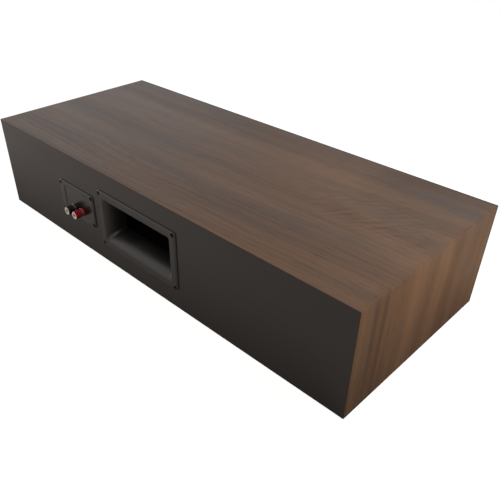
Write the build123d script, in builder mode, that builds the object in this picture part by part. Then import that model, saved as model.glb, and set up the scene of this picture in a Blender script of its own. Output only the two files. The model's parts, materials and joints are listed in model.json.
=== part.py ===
from build123d import *
import os
from math import asin, cos, pi, radians, sin, tan

# Center channel loudspeaker, in millimetres.
# The origin is the middle of the underside. +Z is up, the drivers face -Y and the
# port and the terminals are on the +Y side.

# Cabinet
cabinet_width = 670.0
cabinet_height = 142.0
cabinet_depth = 280.0
wrap_wall = 15.0
wrap_edge_radius = 0.8
mitre_seam = 0.3
rear_panel_thickness = 15.0
baffle_thickness = 18.0
baffle_lip = 2.5
baffle_lip_inset = 0.8
baffle_edge_chamfer = 1.0
baffle_corner_radius = 2.0
board_fit = 0.2

# Braces and damping
brace_thickness = 12.0
brace_rail = 24.0
brace_window_radius = 14.0
lead_notch_y = -49.0
lead_notch_width = 24.0
lead_notch_height = 10.0
pad_thickness = 25.0
pad_margin = 3.0

# Port
port_flange_margin_x = 9.6
port_flange_margin_z = 7.1
port_flange_thickness = 2.0
port_flange_radius = 4.5
port_flange_slope = 3.5
port_mouth_width = 141.0
port_mouth_height = 71.0
port_throat_width = 122.0
port_throat_height = 42.0
port_corner_radius = 4.0
port_flare_depth = 30.0
port_length = 118.0
port_wall = 3.0
port_screw_inset_x = 4.7
port_screw_inset_z = 4.1
flange_edge = 0.5
gasket_thickness = 0.3
gasket_inset = 1.0
cutout_clearance = 0.5

# Terminal plate
terminal_x = 135.5
terminal_width = 84.0
terminal_height = 50.0
terminal_thickness = 1.8
terminal_radius = 4.0
terminal_slope = 3.0
terminal_screw_inset_x = 4.1
terminal_screw_inset_z = 4.05
dish_width = 61.0
dish_height = 40.0
dish_depth = 1.0
dish_radius = 5.0
dish_slope = 2.2

# Binding posts
post_spacing = 19.0
post_drop = 11.2
collar_radius = 6.2
collar_height = 2.1
spigot_radius = 4.0
shoulder_radius = 4.0
shoulder_height = 1.0
stud_radius = 3.1
stud_inner_length = 14.0
stud_outer_length = 12.7
socket_radius = 2.05
socket_depth = 13.0
wire_hole_radius = 1.2
wire_hole_rise = 2.4
washer_radius = 4.7
washer_thickness = 1.0
nut_radius = 6.1
nut_length = 9.8
nut_chamfer = 0.5
nut_plain_rim = 1.6
nut_flutes = 18
nut_flute_radius = 0.55
core_radius = 4.4
core_flange_radius = 5.3
core_flange_thickness = 1.2
back_nut_flats = 10.0
back_nut_thickness = 4.0
thread_clearance = 0.05
slide_clearance = 0.15
press_clearance = 0.02

# Screws
screw_shank_radius = 1.5
screw_shank_length = 12.0
screw_head_radius = 2.7
screw_head_height = 1.0
rear_screw_sink = 0.4
screw_recess_length = 3.0
screw_recess_width = 0.8
screw_recess_depth = 0.8
screw_hole_clearance = 0.2
head_clearance = 0.15

# Crossover
crossover_width = 84.0
crossover_length = 100.0
crossover_thickness = 1.6
crossover_y = 25.0
crossover_gap = 2.5
spacer_radius = 3.5
spacer_height = 6.0
crossover_hole_inset = 5.0
woofer_choke_radius = 18.0
woofer_choke_height = 26.0
tweeter_choke_radius = 11.0
tweeter_choke_height = 16.0
left_column_x = 20.0
right_column_x = 26.0
middle_column_x = 4.0
back_row_y = 22.0
middle_row_y = 3.0
woofer_choke_row_y = 10.0
tweeter_choke_row_y = 20.0
resistor_back_row_y = 12.0
choke_bore_radius = 4.5
choke_cheek = 1.5
choke_winding_inset = 1.5
capacitor_radius = 8.0
capacitor_length = 30.0
resistor_side = 9.0
resistor_length = 28.0
block_depth = 12.0
block_height = 12.0
output_block_width = 60.0
input_block_width = 32.0
block_edge_distance = 2.0
lead_radius = 1.6
lead_rest_gap = 0.9
way_run = 10.0
way_pitch = 10.0
lead_tab_run = 28.0
lead_drop_run = 32.0
lead_rise_run = 22.0
lead_spacing = 4.0
tweeter_lead_run = 45.0
tweeter_lead_drop = 16.0
tweeter_lead_x = 12.0

# Horn tweeter
driver_margin = 2.0
horn_flange_thickness = 4.0
horn_flange_radius = 6.0
horn_flange_round = 0.8
horn_mouth_margin = 8.0
horn_mouth_corner_ratio = 0.16
horn_throat_size = 25.0
horn_throat_corner_ratio = 0.49
horn_depth = 52.0
horn_wall = 3.0
horn_collar_radius = 26.0
horn_collar_height = 7.0
horn_screw_inset = 5.5
diaphragm_rim_radius = 18.0
diaphragm_rim_thickness = 0.6
diaphragm_thickness = 0.4
dome_rise = 4.0
dome_clearance = 0.5
tweeter_plate_radius = 30.0
tweeter_plate_thickness = 5.0
tweeter_gap_radius = 13.4
tweeter_magnet_radius = 28.0
tweeter_magnet_bore = 16.0
tweeter_magnet_thickness = 12.0
tweeter_yoke_thickness = 6.0
tweeter_pole_radius = 12.2
tweeter_pole_setback = 1.4

# Woofers
driver_gap_ratio = 0.32
woofer_flange_thickness = 3.0
woofer_flange_chamfer = 0.8
woofer_screw_inset = 3.6
woofer_screws_each = 4
basket_rim_width = 10.0
basket_wall = 1.5
basket_ledge = 3.0
surround_setback = 4.4
surround_lip_thickness = 1.0
surround_roll_radius = 4.0
surround_skin = 0.8
surround_outer_lip = 2.0
surround_inner_lip = 2.5
cone_thickness = 0.8
cone_valley_radius = 15.5
cone_valley_drop = 11.1
cap_rise = 4.0
coil_bore_radius = 12.5
coil_former_thickness = 0.3
coil_winding_thickness = 0.4
coil_winding_length = 11.0
coil_glue_gap = 0.05
coil_collar_thickness = 0.8
coil_collar_length = 3.0
coil_length = 24.0
spider_setback = 22.0
spider_thickness = 0.8
spider_inset = 13.0
spider_ledge = 3.5
spider_rolls = 3
spider_roll_height = 1.2
basket_window_front = 9.5
basket_window_back = 20.5
basket_spokes = 6
basket_spoke_width = 9.0
basket_depth = 30.0
basket_rear_thickness = 3.0
basket_rear_bore = 16.5
motor_plate_radius = 32.0
motor_plate_thickness = 5.0
motor_gap_radius = 13.7
motor_magnet_radius = 38.0
motor_magnet_bore = 20.0
motor_magnet_thickness = 14.0
motor_yoke_radius = 34.0
motor_yoke_thickness = 5.0
motor_pole_radius = 12.2
motor_pole_vent = 4.0
tab_width = 16.0
tab_thickness = 1.6
tab_hole_inset = 2.5
tab_overhang = 6.0

# Places that follow from the dimensions above
front_y = -cabinet_depth / 2
rear_y = cabinet_depth / 2
axis_z = cabinet_height / 2
inner_width = cabinet_width - 2 * wrap_wall
inner_height = cabinet_height - 2 * wrap_wall
baffle_back_y = front_y + baffle_thickness
rear_inner_y = rear_y - rear_panel_thickness
horn_flange_size = inner_height - 2 * driver_margin
horn_mouth_size = horn_flange_size - 2 * horn_mouth_margin
horn_screw_span = horn_flange_size - 2 * horn_screw_inset
woofer_flange_radius = inner_height / 2 - driver_margin
woofer_screw_radius = woofer_flange_radius - woofer_screw_inset
basket_inner_radius = woofer_flange_radius - basket_rim_width
basket_rear_radius = motor_magnet_radius
spider_radius = basket_inner_radius - spider_inset
tab_reach = motor_magnet_radius + tab_overhang
spare_width = inner_width / 2 - horn_flange_size / 2 - 4 * woofer_flange_radius
driver_gap = driver_gap_ratio * spare_width
inner_woofer_x = horn_flange_size / 2 + driver_gap + woofer_flange_radius
outer_woofer_x = inner_woofer_x + 2 * woofer_flange_radius + driver_gap
woofer_xs = [-outer_woofer_x, -inner_woofer_x, inner_woofer_x, outer_woofer_x]
woofer_centres = [(x, 0) for x in woofer_xs]
brace_x = (inner_woofer_x + outer_woofer_x) / 2
crossover_x = brace_x - brace_thickness / 2 - crossover_gap - crossover_width / 2
port_flange_width = port_mouth_width + 2 * port_flange_margin_x
port_flange_height = port_mouth_height + 2 * port_flange_margin_z
port_screw_span_x = port_flange_width - 2 * port_screw_inset_x
port_screw_span_z = port_flange_height - 2 * port_screw_inset_z
port_face_y = rear_y + gasket_thickness + port_flange_thickness
port_cutout_width = port_mouth_width + 2 * (port_wall + cutout_clearance)
port_cutout_height = port_mouth_height + 2 * (port_wall + cutout_clearance)
port_cutout_radius = port_corner_radius + port_wall + cutout_clearance
terminal_screw_span_x = terminal_width - 2 * terminal_screw_inset_x
terminal_screw_span_z = terminal_height - 2 * terminal_screw_inset_z
terminal_face_y = rear_y + gasket_thickness + terminal_thickness
dish_floor_y = terminal_face_y - dish_depth
dish_back_y = dish_floor_y - terminal_thickness
terminal_cutout_width = dish_width + 2 * (terminal_thickness + cutout_clearance)
terminal_cutout_height = dish_height + 2 * (terminal_thickness + cutout_clearance)
terminal_cutout_radius = dish_radius + terminal_thickness + cutout_clearance
post_z = axis_z - post_drop
washer_rest = collar_height + shoulder_height
nut_rest = washer_rest + washer_thickness
nut_end = nut_rest + nut_length
screw_hole_radius = screw_shank_radius + screw_hole_clearance
head_pocket_radius = screw_head_radius + head_clearance
rear_pocket_depth = rear_screw_sink + screw_head_height


def facing(y):
    """Upright plane at depth y on the cabinet's axis: local x is +X, local y is +Z.

    A positive extrusion runs towards the front (-Y).
    """
    return Plane((0, y, axis_z), x_dir=(1, 0, 0), z_dir=(0, -1, 0))


def lying(z):
    """Level plane at height z: local x is +X, local y is +Y."""
    return Plane((0, 0, z))


def driver_plane(x):
    """Half-section plane of a driver at x: local x is the radius, local y the depth."""
    return Plane((x, front_y, axis_z))


def driver_axis(x):
    """Axis of a driver at x."""
    return Axis((x, front_y, axis_z), (0, 1, 0))


def write(part, name):
    """Label a finished piece and write its file."""
    part.label = name
    export_step(part, f"parts/{name}.step")


def screws(places, face_y, towards):
    """Pan head screws whose head tops lie at face_y.

    places holds (x, z from the axis) pairs. towards is +1 for screws driven towards the
    front and -1 for screws driven towards the rear.
    """
    with BuildPart() as group:
        with BuildSketch(facing(face_y)):
            with Locations(*places):
                Circle(screw_head_radius)
        extrude(amount=towards * screw_head_height)
        with BuildSketch(facing(face_y - towards * screw_head_height)):
            with Locations(*places):
                Circle(screw_shank_radius)
        extrude(amount=towards * screw_shank_length)
        with BuildSketch(facing(face_y)):
            with Locations(*places):
                Rectangle(screw_recess_length, screw_recess_width)
                Rectangle(screw_recess_width, screw_recess_length)
        extrude(amount=towards * screw_recess_depth, mode=Mode.SUBTRACT)
    return group.part


def lead(points):
    """A round lead along straight runs joined by arcs as wide as the runs allow."""
    corners = [Vector(p) for p in points]
    runs = [b - a for a, b in zip(corners, corners[1:])]
    radii = []
    for before, after in zip(runs, runs[1:]):
        turn = radians(before.get_angle(after))
        shorter = min(before.length, after.length)
        radii.append(0.45 * shorter / tan(turn / 2))
    with BuildPart() as cable:
        with BuildLine() as path:
            FilletPolyline(*corners, radius=radii)
        with BuildSketch(Plane(corners[0], z_dir=runs[0])):
            Circle(lead_radius)
        sweep(path=path.line)
    return cable.part


def dome_middle(radius, apex, rise):
    """Halfway point of a spherical cap's half section, from its apex to its rim."""
    ball = (radius**2 + rise**2) / (2 * rise)
    angle = asin(radius / ball) / 2
    return (ball * sin(angle), apex + ball * (1 - cos(angle)))


def domed_sections(width, height, radius, slope, thickness):
    """Sections of a flange on the rear panel whose face curves down to a thin edge.

    Each row is a depth, a width, a height and a corner radius.
    """
    rise = thickness - flange_edge
    return [
        (
            rear_y + gasket_thickness + flange_edge + rise * (1 - (1 - share) ** 2),
            width - 2 * slope * share,
            height - 2 * slope * share,
            radius - slope * share,
        )
        for share in (0, 1 / 3, 2 / 3, 1)
    ]


def grid(span_x, span_z, x=0.0):
    """The four corners of a screw pattern round x."""
    return [(x + i * span_x / 2, k * span_z / 2) for i in (-1, 1) for k in (-1, 1)]


port_screw_places = grid(port_screw_span_x, port_screw_span_z)
terminal_screw_places = grid(terminal_screw_span_x, terminal_screw_span_z, terminal_x)
horn_screw_places = grid(horn_screw_span, horn_screw_span)
woofer_screw_angles = [2 * pi * (i + 0.5) / woofer_screws_each for i in range(woofer_screws_each)]
woofer_screw_places = [
    (x + woofer_screw_radius * cos(a), woofer_screw_radius * sin(a))
    for x in woofer_xs
    for a in woofer_screw_angles
]
crossover_hole_x = crossover_width / 2 - crossover_hole_inset
crossover_hole_y = crossover_length / 2 - crossover_hole_inset
crossover_hole_places = [
    (crossover_x + i * crossover_hole_x, crossover_y + k * crossover_hole_y)
    for i in (-1, 1)
    for k in (-1, 1)
]
crossover_screw_depth = 8.0
crossover_bottom_z = wrap_wall + spacer_height
crossover_top_z = crossover_bottom_z + crossover_thickness

# Rear panel and wrap meet in a mitre: the panel is a block that narrows inwards.
with BuildPart() as rear_block:
    with BuildSketch(facing(rear_y)):
        Rectangle(cabinet_width - 2 * mitre_seam, cabinet_height - 2 * mitre_seam)
    with BuildSketch(facing(rear_inner_y)):
        Rectangle(inner_width, inner_height)
    loft(ruled=True)

with BuildPart() as cabinet_wrap:
    with BuildSketch(facing(rear_y)):
        RectangleRounded(cabinet_width, cabinet_height, wrap_edge_radius)
        Rectangle(inner_width, inner_height, mode=Mode.SUBTRACT)
    extrude(amount=cabinet_depth - baffle_lip)
    add(rear_block.part, mode=Mode.SUBTRACT)
    with BuildSketch(lying(wrap_wall)):
        with Locations(*crossover_hole_places):
            Circle(screw_hole_radius)
    extrude(amount=-crossover_screw_depth, mode=Mode.SUBTRACT)
write(cabinet_wrap.part, "cabinet_wrap")

with BuildPart() as rear_panel:
    add(rear_block.part)
    with BuildSketch(facing(rear_y)):
        RectangleRounded(port_cutout_width, port_cutout_height, port_cutout_radius)
        with Locations((terminal_x, 0)):
            RectangleRounded(terminal_cutout_width, terminal_cutout_height, terminal_cutout_radius)
        with Locations(*port_screw_places, *terminal_screw_places):
            Circle(screw_hole_radius)
    extrude(amount=rear_panel_thickness, mode=Mode.SUBTRACT)
write(rear_panel.part, "rear_panel")

with BuildPart() as front_baffle:
    with BuildSketch(facing(front_y + baffle_lip)):
        RectangleRounded(
            cabinet_width - 2 * baffle_lip_inset,
            cabinet_height - 2 * baffle_lip_inset,
            baffle_corner_radius,
        )
    extrude(amount=baffle_lip)
    chamfer(front_baffle.faces().sort_by(Axis.Y)[0].edges(), baffle_edge_chamfer)
    with BuildSketch(facing(baffle_back_y)):
        Rectangle(inner_width - 2 * board_fit, inner_height - 2 * board_fit)
    extrude(amount=baffle_thickness - baffle_lip)
    with BuildSketch(facing(front_y + woofer_flange_thickness)):
        with Locations(*woofer_centres):
            Circle(woofer_flange_radius + board_fit)
    extrude(amount=woofer_flange_thickness, mode=Mode.SUBTRACT)
    with BuildSketch(facing(front_y + horn_flange_thickness)):
        RectangleRounded(
            horn_flange_size + 2 * board_fit,
            horn_flange_size + 2 * board_fit,
            horn_flange_radius + board_fit,
        )
    extrude(amount=horn_flange_thickness, mode=Mode.SUBTRACT)
    with BuildSketch(facing(baffle_back_y)):
        with Locations(*woofer_centres):
            Circle(basket_inner_radius + basket_wall + cutout_clearance)
        RectangleRounded(
            horn_mouth_size + 2 * (horn_wall + cutout_clearance),
            horn_mouth_size + 2 * (horn_wall + cutout_clearance),
            horn_mouth_corner_ratio * horn_mouth_size,
        )
        with Locations(*woofer_screw_places, *horn_screw_places):
            Circle(screw_hole_radius)
    extrude(amount=baffle_thickness, mode=Mode.SUBTRACT)
write(front_baffle.part, "front_baffle")

# Window braces between the two woofers of each end
brace_front_y = baffle_back_y + board_fit
brace_back_y = rear_inner_y - board_fit
brace_length = brace_back_y - brace_front_y
brace_mid_y = (brace_back_y + brace_front_y) / 2
for side, x in (("left", -brace_x), ("right", brace_x)):
    with BuildPart() as brace:
        upright = Plane((x - brace_thickness / 2, 0, axis_z), x_dir=(0, 1, 0), z_dir=(1, 0, 0))
        with BuildSketch(upright):
            with Locations((brace_mid_y, 0)):
                Rectangle(brace_length, inner_height - 2 * board_fit)
                RectangleRounded(
                    brace_length - 2 * brace_rail,
                    inner_height - 2 * brace_rail,
                    brace_window_radius,
                    mode=Mode.SUBTRACT,
                )
            with Locations((lead_notch_y, -inner_height / 2)):
                Rectangle(lead_notch_width, 2 * lead_notch_height, mode=Mode.SUBTRACT)
        extrude(amount=brace_thickness)
    write(brace.part, f"{side}_brace")

# Damping pads on the inside of the rear panel, one in each end chamber
pad_inner_x = brace_x + brace_thickness / 2 + pad_margin
pad_outer_x = inner_width / 2 - pad_margin
with BuildPart() as damping_pads:
    with BuildSketch(facing(rear_inner_y)):
        with Locations(
            (-(pad_inner_x + pad_outer_x) / 2, 0),
            ((pad_inner_x + pad_outer_x) / 2, 0),
        ):
            RectangleRounded(pad_outer_x - pad_inner_x, inner_height - 2 * pad_margin, 8)
    extrude(amount=pad_thickness)
write(damping_pads.part, "damping_pads")

# Port: the flare follows a quarter ellipse from the flange face to the slot duct.
flare_angles = [radians(a) for a in (0, 18, 36, 54, 72, 90)]
flare_sections = [
    (
        port_face_y - port_flare_depth * (1 - cos(a)),
        port_throat_width + (port_mouth_width - port_throat_width) * (1 - sin(a)),
        port_throat_height + (port_mouth_height - port_throat_height) * (1 - sin(a)),
    )
    for a in flare_angles
]
port_throat_y = port_face_y - port_flare_depth
port_duct_length = port_length - port_flare_depth
with BuildPart() as port_horn:
    for y, width, height in flare_sections:
        with BuildSketch(facing(y)):
            RectangleRounded(
                width + 2 * port_wall,
                height + 2 * port_wall,
                port_corner_radius + port_wall,
            )
    loft()
    with BuildSketch(facing(rear_y + gasket_thickness)):
        RectangleRounded(port_flange_width, port_flange_height, port_flange_radius)
    extrude(amount=-flange_edge)
    for y, width, height, radius in domed_sections(
        port_flange_width,
        port_flange_height,
        port_flange_radius,
        port_flange_slope,
        port_flange_thickness,
    ):
        with BuildSketch(facing(y)):
            RectangleRounded(width, height, radius)
    loft(ruled=True)
    for y, width, height in flare_sections:
        with BuildSketch(facing(y)):
            RectangleRounded(width, height, port_corner_radius)
    loft(mode=Mode.SUBTRACT)
    with BuildSketch(facing(port_face_y)):
        with Locations(*port_screw_places):
            Circle(screw_hole_radius)
    extrude(amount=port_flange_thickness, mode=Mode.SUBTRACT)
    with BuildSketch(facing(port_face_y)):
        with Locations(*port_screw_places):
            Circle(head_pocket_radius)
    extrude(amount=rear_pocket_depth, mode=Mode.SUBTRACT)
write(port_horn.part, "port_horn")

# Slot duct, a board tube glued to the end of the flare
with BuildPart() as port_duct:
    with BuildSketch(facing(port_throat_y)):
        RectangleRounded(
            port_throat_width + 2 * port_wall,
            port_throat_height + 2 * port_wall,
            port_corner_radius + port_wall,
        )
        RectangleRounded(
            port_throat_width,
            port_throat_height,
            port_corner_radius,
            mode=Mode.SUBTRACT,
        )
    extrude(amount=port_duct_length)
write(port_duct.part, "port_duct")

with BuildPart() as port_gasket:
    with BuildSketch(facing(rear_y + gasket_thickness)):
        RectangleRounded(
            port_flange_width - 2 * gasket_inset,
            port_flange_height - 2 * gasket_inset,
            port_flange_radius - gasket_inset,
        )
        RectangleRounded(
            port_cutout_width,
            port_cutout_height,
            port_cutout_radius,
            mode=Mode.SUBTRACT,
        )
        with Locations(*port_screw_places):
            Circle(screw_hole_radius, mode=Mode.SUBTRACT)
    extrude(amount=gasket_thickness)
write(port_gasket.part, "port_gasket")

write(screws(port_screw_places, port_face_y - rear_screw_sink, 1), "port_screws")

# Terminal plate: a flange with a shallow dish, with sloping walls, that the posts stand in
with BuildPart() as terminal_plate:
    with BuildSketch(facing(rear_y + gasket_thickness)):
        with Locations((terminal_x, 0)):
            RectangleRounded(terminal_width, terminal_height, terminal_radius)
    extrude(amount=-flange_edge)
    for y, width, height, radius in domed_sections(
        terminal_width,
        terminal_height,
        terminal_radius,
        terminal_slope,
        terminal_thickness,
    ):
        with BuildSketch(facing(y)):
            with Locations((terminal_x, 0)):
                RectangleRounded(width, height, radius)
    loft(ruled=True)
    with BuildSketch(facing(terminal_face_y - terminal_thickness)):
        with Locations((terminal_x, 0)):
            RectangleRounded(
                dish_width + 2 * terminal_thickness,
                dish_height + 2 * terminal_thickness,
                dish_radius + terminal_thickness,
            )
    extrude(amount=dish_depth)
    with BuildSketch(facing(terminal_face_y)):
        with Locations((terminal_x, 0)):
            RectangleRounded(dish_width, dish_height, dish_radius)
    with BuildSketch(facing(dish_floor_y)):
        with Locations((terminal_x, 0)):
            RectangleRounded(
                dish_width - 2 * dish_slope,
                dish_height - 2 * dish_slope,
                dish_radius - dish_slope,
            )
    loft(ruled=True, mode=Mode.SUBTRACT)
    with BuildSketch(facing(dish_floor_y)):
        with Locations((terminal_x, -post_drop)):
            with GridLocations(post_spacing, 1, 2, 1):
                Circle(spigot_radius + slide_clearance)
    extrude(amount=terminal_thickness, mode=Mode.SUBTRACT)
    with BuildSketch(facing(terminal_face_y)):
        with Locations(*terminal_screw_places):
            Circle(screw_hole_radius)
    extrude(amount=terminal_thickness, mode=Mode.SUBTRACT)
    with BuildSketch(facing(terminal_face_y)):
        with Locations(*terminal_screw_places):
            Circle(head_pocket_radius)
    extrude(amount=rear_pocket_depth, mode=Mode.SUBTRACT)
write(terminal_plate.part, "terminal_plate")

with BuildPart() as terminal_gasket:
    with BuildSketch(facing(rear_y + gasket_thickness)):
        with Locations((terminal_x, 0)):
            RectangleRounded(
                terminal_width - 2 * gasket_inset,
                terminal_height - 2 * gasket_inset,
                terminal_radius - gasket_inset,
            )
            RectangleRounded(
                terminal_cutout_width,
                terminal_cutout_height,
                terminal_cutout_radius,
                mode=Mode.SUBTRACT,
            )
        with Locations(*terminal_screw_places):
            Circle(screw_hole_radius, mode=Mode.SUBTRACT)
    extrude(amount=gasket_thickness)
write(terminal_gasket.part, "terminal_gasket")

write(screws(terminal_screw_places, terminal_face_y - rear_screw_sink, 1), "terminal_screws")

# Binding posts, built in half sections: local x is the radius, local y the height above
# the floor of the dish
post_xs = {
    "negative": terminal_x + post_spacing / 2,
    "positive": terminal_x - post_spacing / 2,
}
stud_bore_radius = stud_radius + thread_clearance
for pole, x in post_xs.items():
    section = Plane((x, dish_floor_y, post_z))
    axis = Axis((x, dish_floor_y, post_z), (0, 1, 0))

    with BuildPart() as collar:
        with BuildSketch(section):
            with BuildLine():
                Polyline(
                    (stud_bore_radius, -terminal_thickness),
                    (spigot_radius, -terminal_thickness),
                    (spigot_radius, 0),
                    (collar_radius, 0),
                    (collar_radius, collar_height - nut_chamfer),
                    (collar_radius - nut_chamfer, collar_height),
                    (stud_bore_radius, collar_height),
                    close=True,
                )
            make_face()
        revolve(axis=axis)
    write(collar.part, f"{pole}_post_collar")

    with BuildPart() as stud:
        with BuildSketch(section):
            with BuildLine():
                Polyline(
                    (0, -stud_inner_length),
                    (stud_radius, -stud_inner_length),
                    (stud_radius, collar_height),
                    (shoulder_radius, collar_height),
                    (shoulder_radius, collar_height + shoulder_height),
                    (stud_radius, collar_height + shoulder_height),
                    (stud_radius, stud_outer_length),
                    (socket_radius, stud_outer_length),
                    (socket_radius, stud_outer_length - socket_depth),
                    (0, stud_outer_length - socket_depth),
                    close=True,
                )
            make_face()
        revolve(axis=axis)
        wire_hole_y = dish_floor_y + washer_rest + wire_hole_rise
        with BuildSketch(Plane((x, wire_hole_y, post_z))):
            Circle(wire_hole_radius)
        extrude(amount=stud_radius, both=True, mode=Mode.SUBTRACT)
    write(stud.part, f"{pole}_post_stud")

    with BuildPart() as washer:
        with BuildSketch(facing(dish_floor_y + nut_rest)):
            with Locations((x, -post_drop)):
                Circle(washer_radius)
                Circle(stud_radius + slide_clearance, mode=Mode.SUBTRACT)
        extrude(amount=washer_thickness)
    write(washer.part, f"{pole}_clamp_washer")

    with BuildPart() as nut:
        with BuildSketch(section):
            with BuildLine():
                Polyline(
                    (core_radius + press_clearance, nut_rest),
                    (nut_radius - nut_chamfer, nut_rest),
                    (nut_radius, nut_rest + nut_chamfer),
                    (nut_radius, nut_end - nut_chamfer),
                    (nut_radius - nut_chamfer, nut_end),
                    (core_flange_radius + press_clearance, nut_end),
                    (core_flange_radius + press_clearance, nut_end - core_flange_thickness),
                    (core_radius + press_clearance, nut_end - core_flange_thickness),
                    close=True,
                )
            make_face()
        revolve(axis=axis)
        with BuildSketch(facing(dish_floor_y + nut_end - nut_plain_rim)):
            with Locations((x, -post_drop)):
                with PolarLocations(nut_radius, nut_flutes):
                    Circle(nut_flute_radius)
        extrude(amount=nut_length - 2 * nut_plain_rim, mode=Mode.SUBTRACT)
    write(nut.part, f"{pole}_thumb_nut")

    with BuildPart() as core:
        with BuildSketch(section):
            with BuildLine():
                Polyline(
                    (stud_bore_radius, nut_rest),
                    (core_radius, nut_rest),
                    (core_radius, nut_end - core_flange_thickness),
                    (core_flange_radius, nut_end - core_flange_thickness),
                    (core_flange_radius, nut_end),
                    (stud_bore_radius, nut_end),
                    close=True,
                )
            make_face()
        revolve(axis=axis)
    write(core.part, f"{pole}_nut_insert")

with BuildPart() as back_nuts:
    with BuildSketch(facing(dish_back_y)):
        with Locations(*[(x, -post_drop) for x in post_xs.values()]):
            RegularPolygon(back_nut_flats / 2, 6, major_radius=False)
            Circle(stud_bore_radius, mode=Mode.SUBTRACT)
    extrude(amount=back_nut_thickness)
write(back_nuts.part, "post_back_nuts")

# Crossover on the cabinet floor in front of the terminals
with BuildPart() as crossover_board:
    with BuildSketch(lying(crossover_bottom_z)):
        with Locations((crossover_x, crossover_y)):
            RectangleRounded(crossover_width, crossover_length, 3)
        with Locations(*crossover_hole_places):
            Circle(screw_hole_radius, mode=Mode.SUBTRACT)
    extrude(amount=crossover_thickness)
write(crossover_board.part, "crossover_board")

with BuildPart() as crossover_spacers:
    with BuildSketch(lying(wrap_wall)):
        with Locations(*crossover_hole_places):
            Circle(spacer_radius)
            Circle(screw_hole_radius, mode=Mode.SUBTRACT)
    extrude(amount=spacer_height)
write(crossover_spacers.part, "crossover_spacers")

with BuildPart() as crossover_screws:
    with BuildSketch(lying(crossover_top_z)):
        with Locations(*crossover_hole_places):
            Circle(screw_head_radius)
    extrude(amount=screw_head_height)
    with BuildSketch(lying(crossover_top_z)):
        with Locations(*crossover_hole_places):
            Circle(screw_shank_radius)
    extrude(amount=-(crossover_thickness + spacer_height + crossover_screw_depth - 1))
write(crossover_screws.part, "crossover_screws")


def choke(x, y, radius, height):
    """A wound spool that stands on the crossover board."""
    winding = radius - choke_winding_inset
    with BuildPart() as spool:
        with BuildSketch(Plane((x, y, crossover_top_z), x_dir=(1, 0, 0), z_dir=(0, -1, 0))):
            with BuildLine():
                Polyline(
                    (choke_bore_radius, 0),
                    (radius, 0),
                    (radius, choke_cheek),
                    (winding, choke_cheek),
                    (winding, height - choke_cheek),
                    (radius, height - choke_cheek),
                    (radius, height),
                    (choke_bore_radius, height),
                    close=True,
                )
            make_face()
        revolve(axis=Axis((x, y, crossover_top_z), (0, 0, 1)))
    return spool.part


woofer_choke_x = crossover_x - left_column_x
woofer_choke_y = crossover_y - woofer_choke_row_y
tweeter_choke_x = crossover_x + right_column_x
tweeter_choke_y = crossover_y - tweeter_choke_row_y
write(choke(woofer_choke_x, woofer_choke_y, woofer_choke_radius, woofer_choke_height), "woofer_choke")
write(choke(tweeter_choke_x, tweeter_choke_y, tweeter_choke_radius, tweeter_choke_height), "tweeter_choke")

capacitor_places = [
    (crossover_x + right_column_x, crossover_y + middle_row_y),
    (crossover_x + right_column_x, crossover_y + back_row_y),
    (crossover_x - left_column_x, crossover_y + back_row_y),
]
with BuildPart() as capacitors:
    for x, y in capacitor_places:
        end = Plane(
            (x - capacitor_length / 2, y, crossover_top_z + capacitor_radius),
            x_dir=(0, 1, 0),
            z_dir=(1, 0, 0),
        )
        with BuildSketch(end):
            Circle(capacitor_radius)
        extrude(amount=capacitor_length)
write(capacitors.part, "crossover_capacitors")

resistor_places = [
    (crossover_x + middle_column_x, crossover_y - back_row_y),
    (crossover_x + middle_column_x, crossover_y + resistor_back_row_y),
]
with BuildPart() as resistors:
    with BuildSketch(lying(crossover_top_z)):
        with Locations(*resistor_places):
            Rectangle(resistor_side, resistor_length)
    extrude(amount=resistor_side)
write(resistors.part, "crossover_resistors")

output_block_y = crossover_y - crossover_length / 2 + block_edge_distance + block_depth / 2
input_block_y = crossover_y + crossover_length / 2 - block_edge_distance - block_depth / 2
with BuildPart() as terminal_blocks:
    with BuildSketch(lying(crossover_top_z)):
        with Locations((crossover_x, output_block_y)):
            Rectangle(output_block_width, block_depth)
        with Locations((crossover_x, input_block_y)):
            Rectangle(input_block_width, block_depth)
    extrude(amount=block_height)
write(terminal_blocks.part, "crossover_terminal_blocks")

# Leads from the posts to the crossover and from the crossover to the drivers
way_z = crossover_top_z + block_height / 2
stud_end_y = dish_floor_y - stud_inner_length
block_back_y = input_block_y + block_depth / 2
block_front_y = output_block_y - block_depth / 2
with BuildPart() as input_leads:
    for x in post_xs.values():
        way_x = x + crossover_x - terminal_x
        add(
            lead(
                [
                    (x, stud_end_y, post_z),
                    (x, stud_end_y - 2 * way_run, post_z),
                    (way_x, block_back_y + 2 * way_run, way_z),
                    (way_x, block_back_y, way_z),
                ]
            )
        )
write(input_leads.part, "input_leads")

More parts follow.
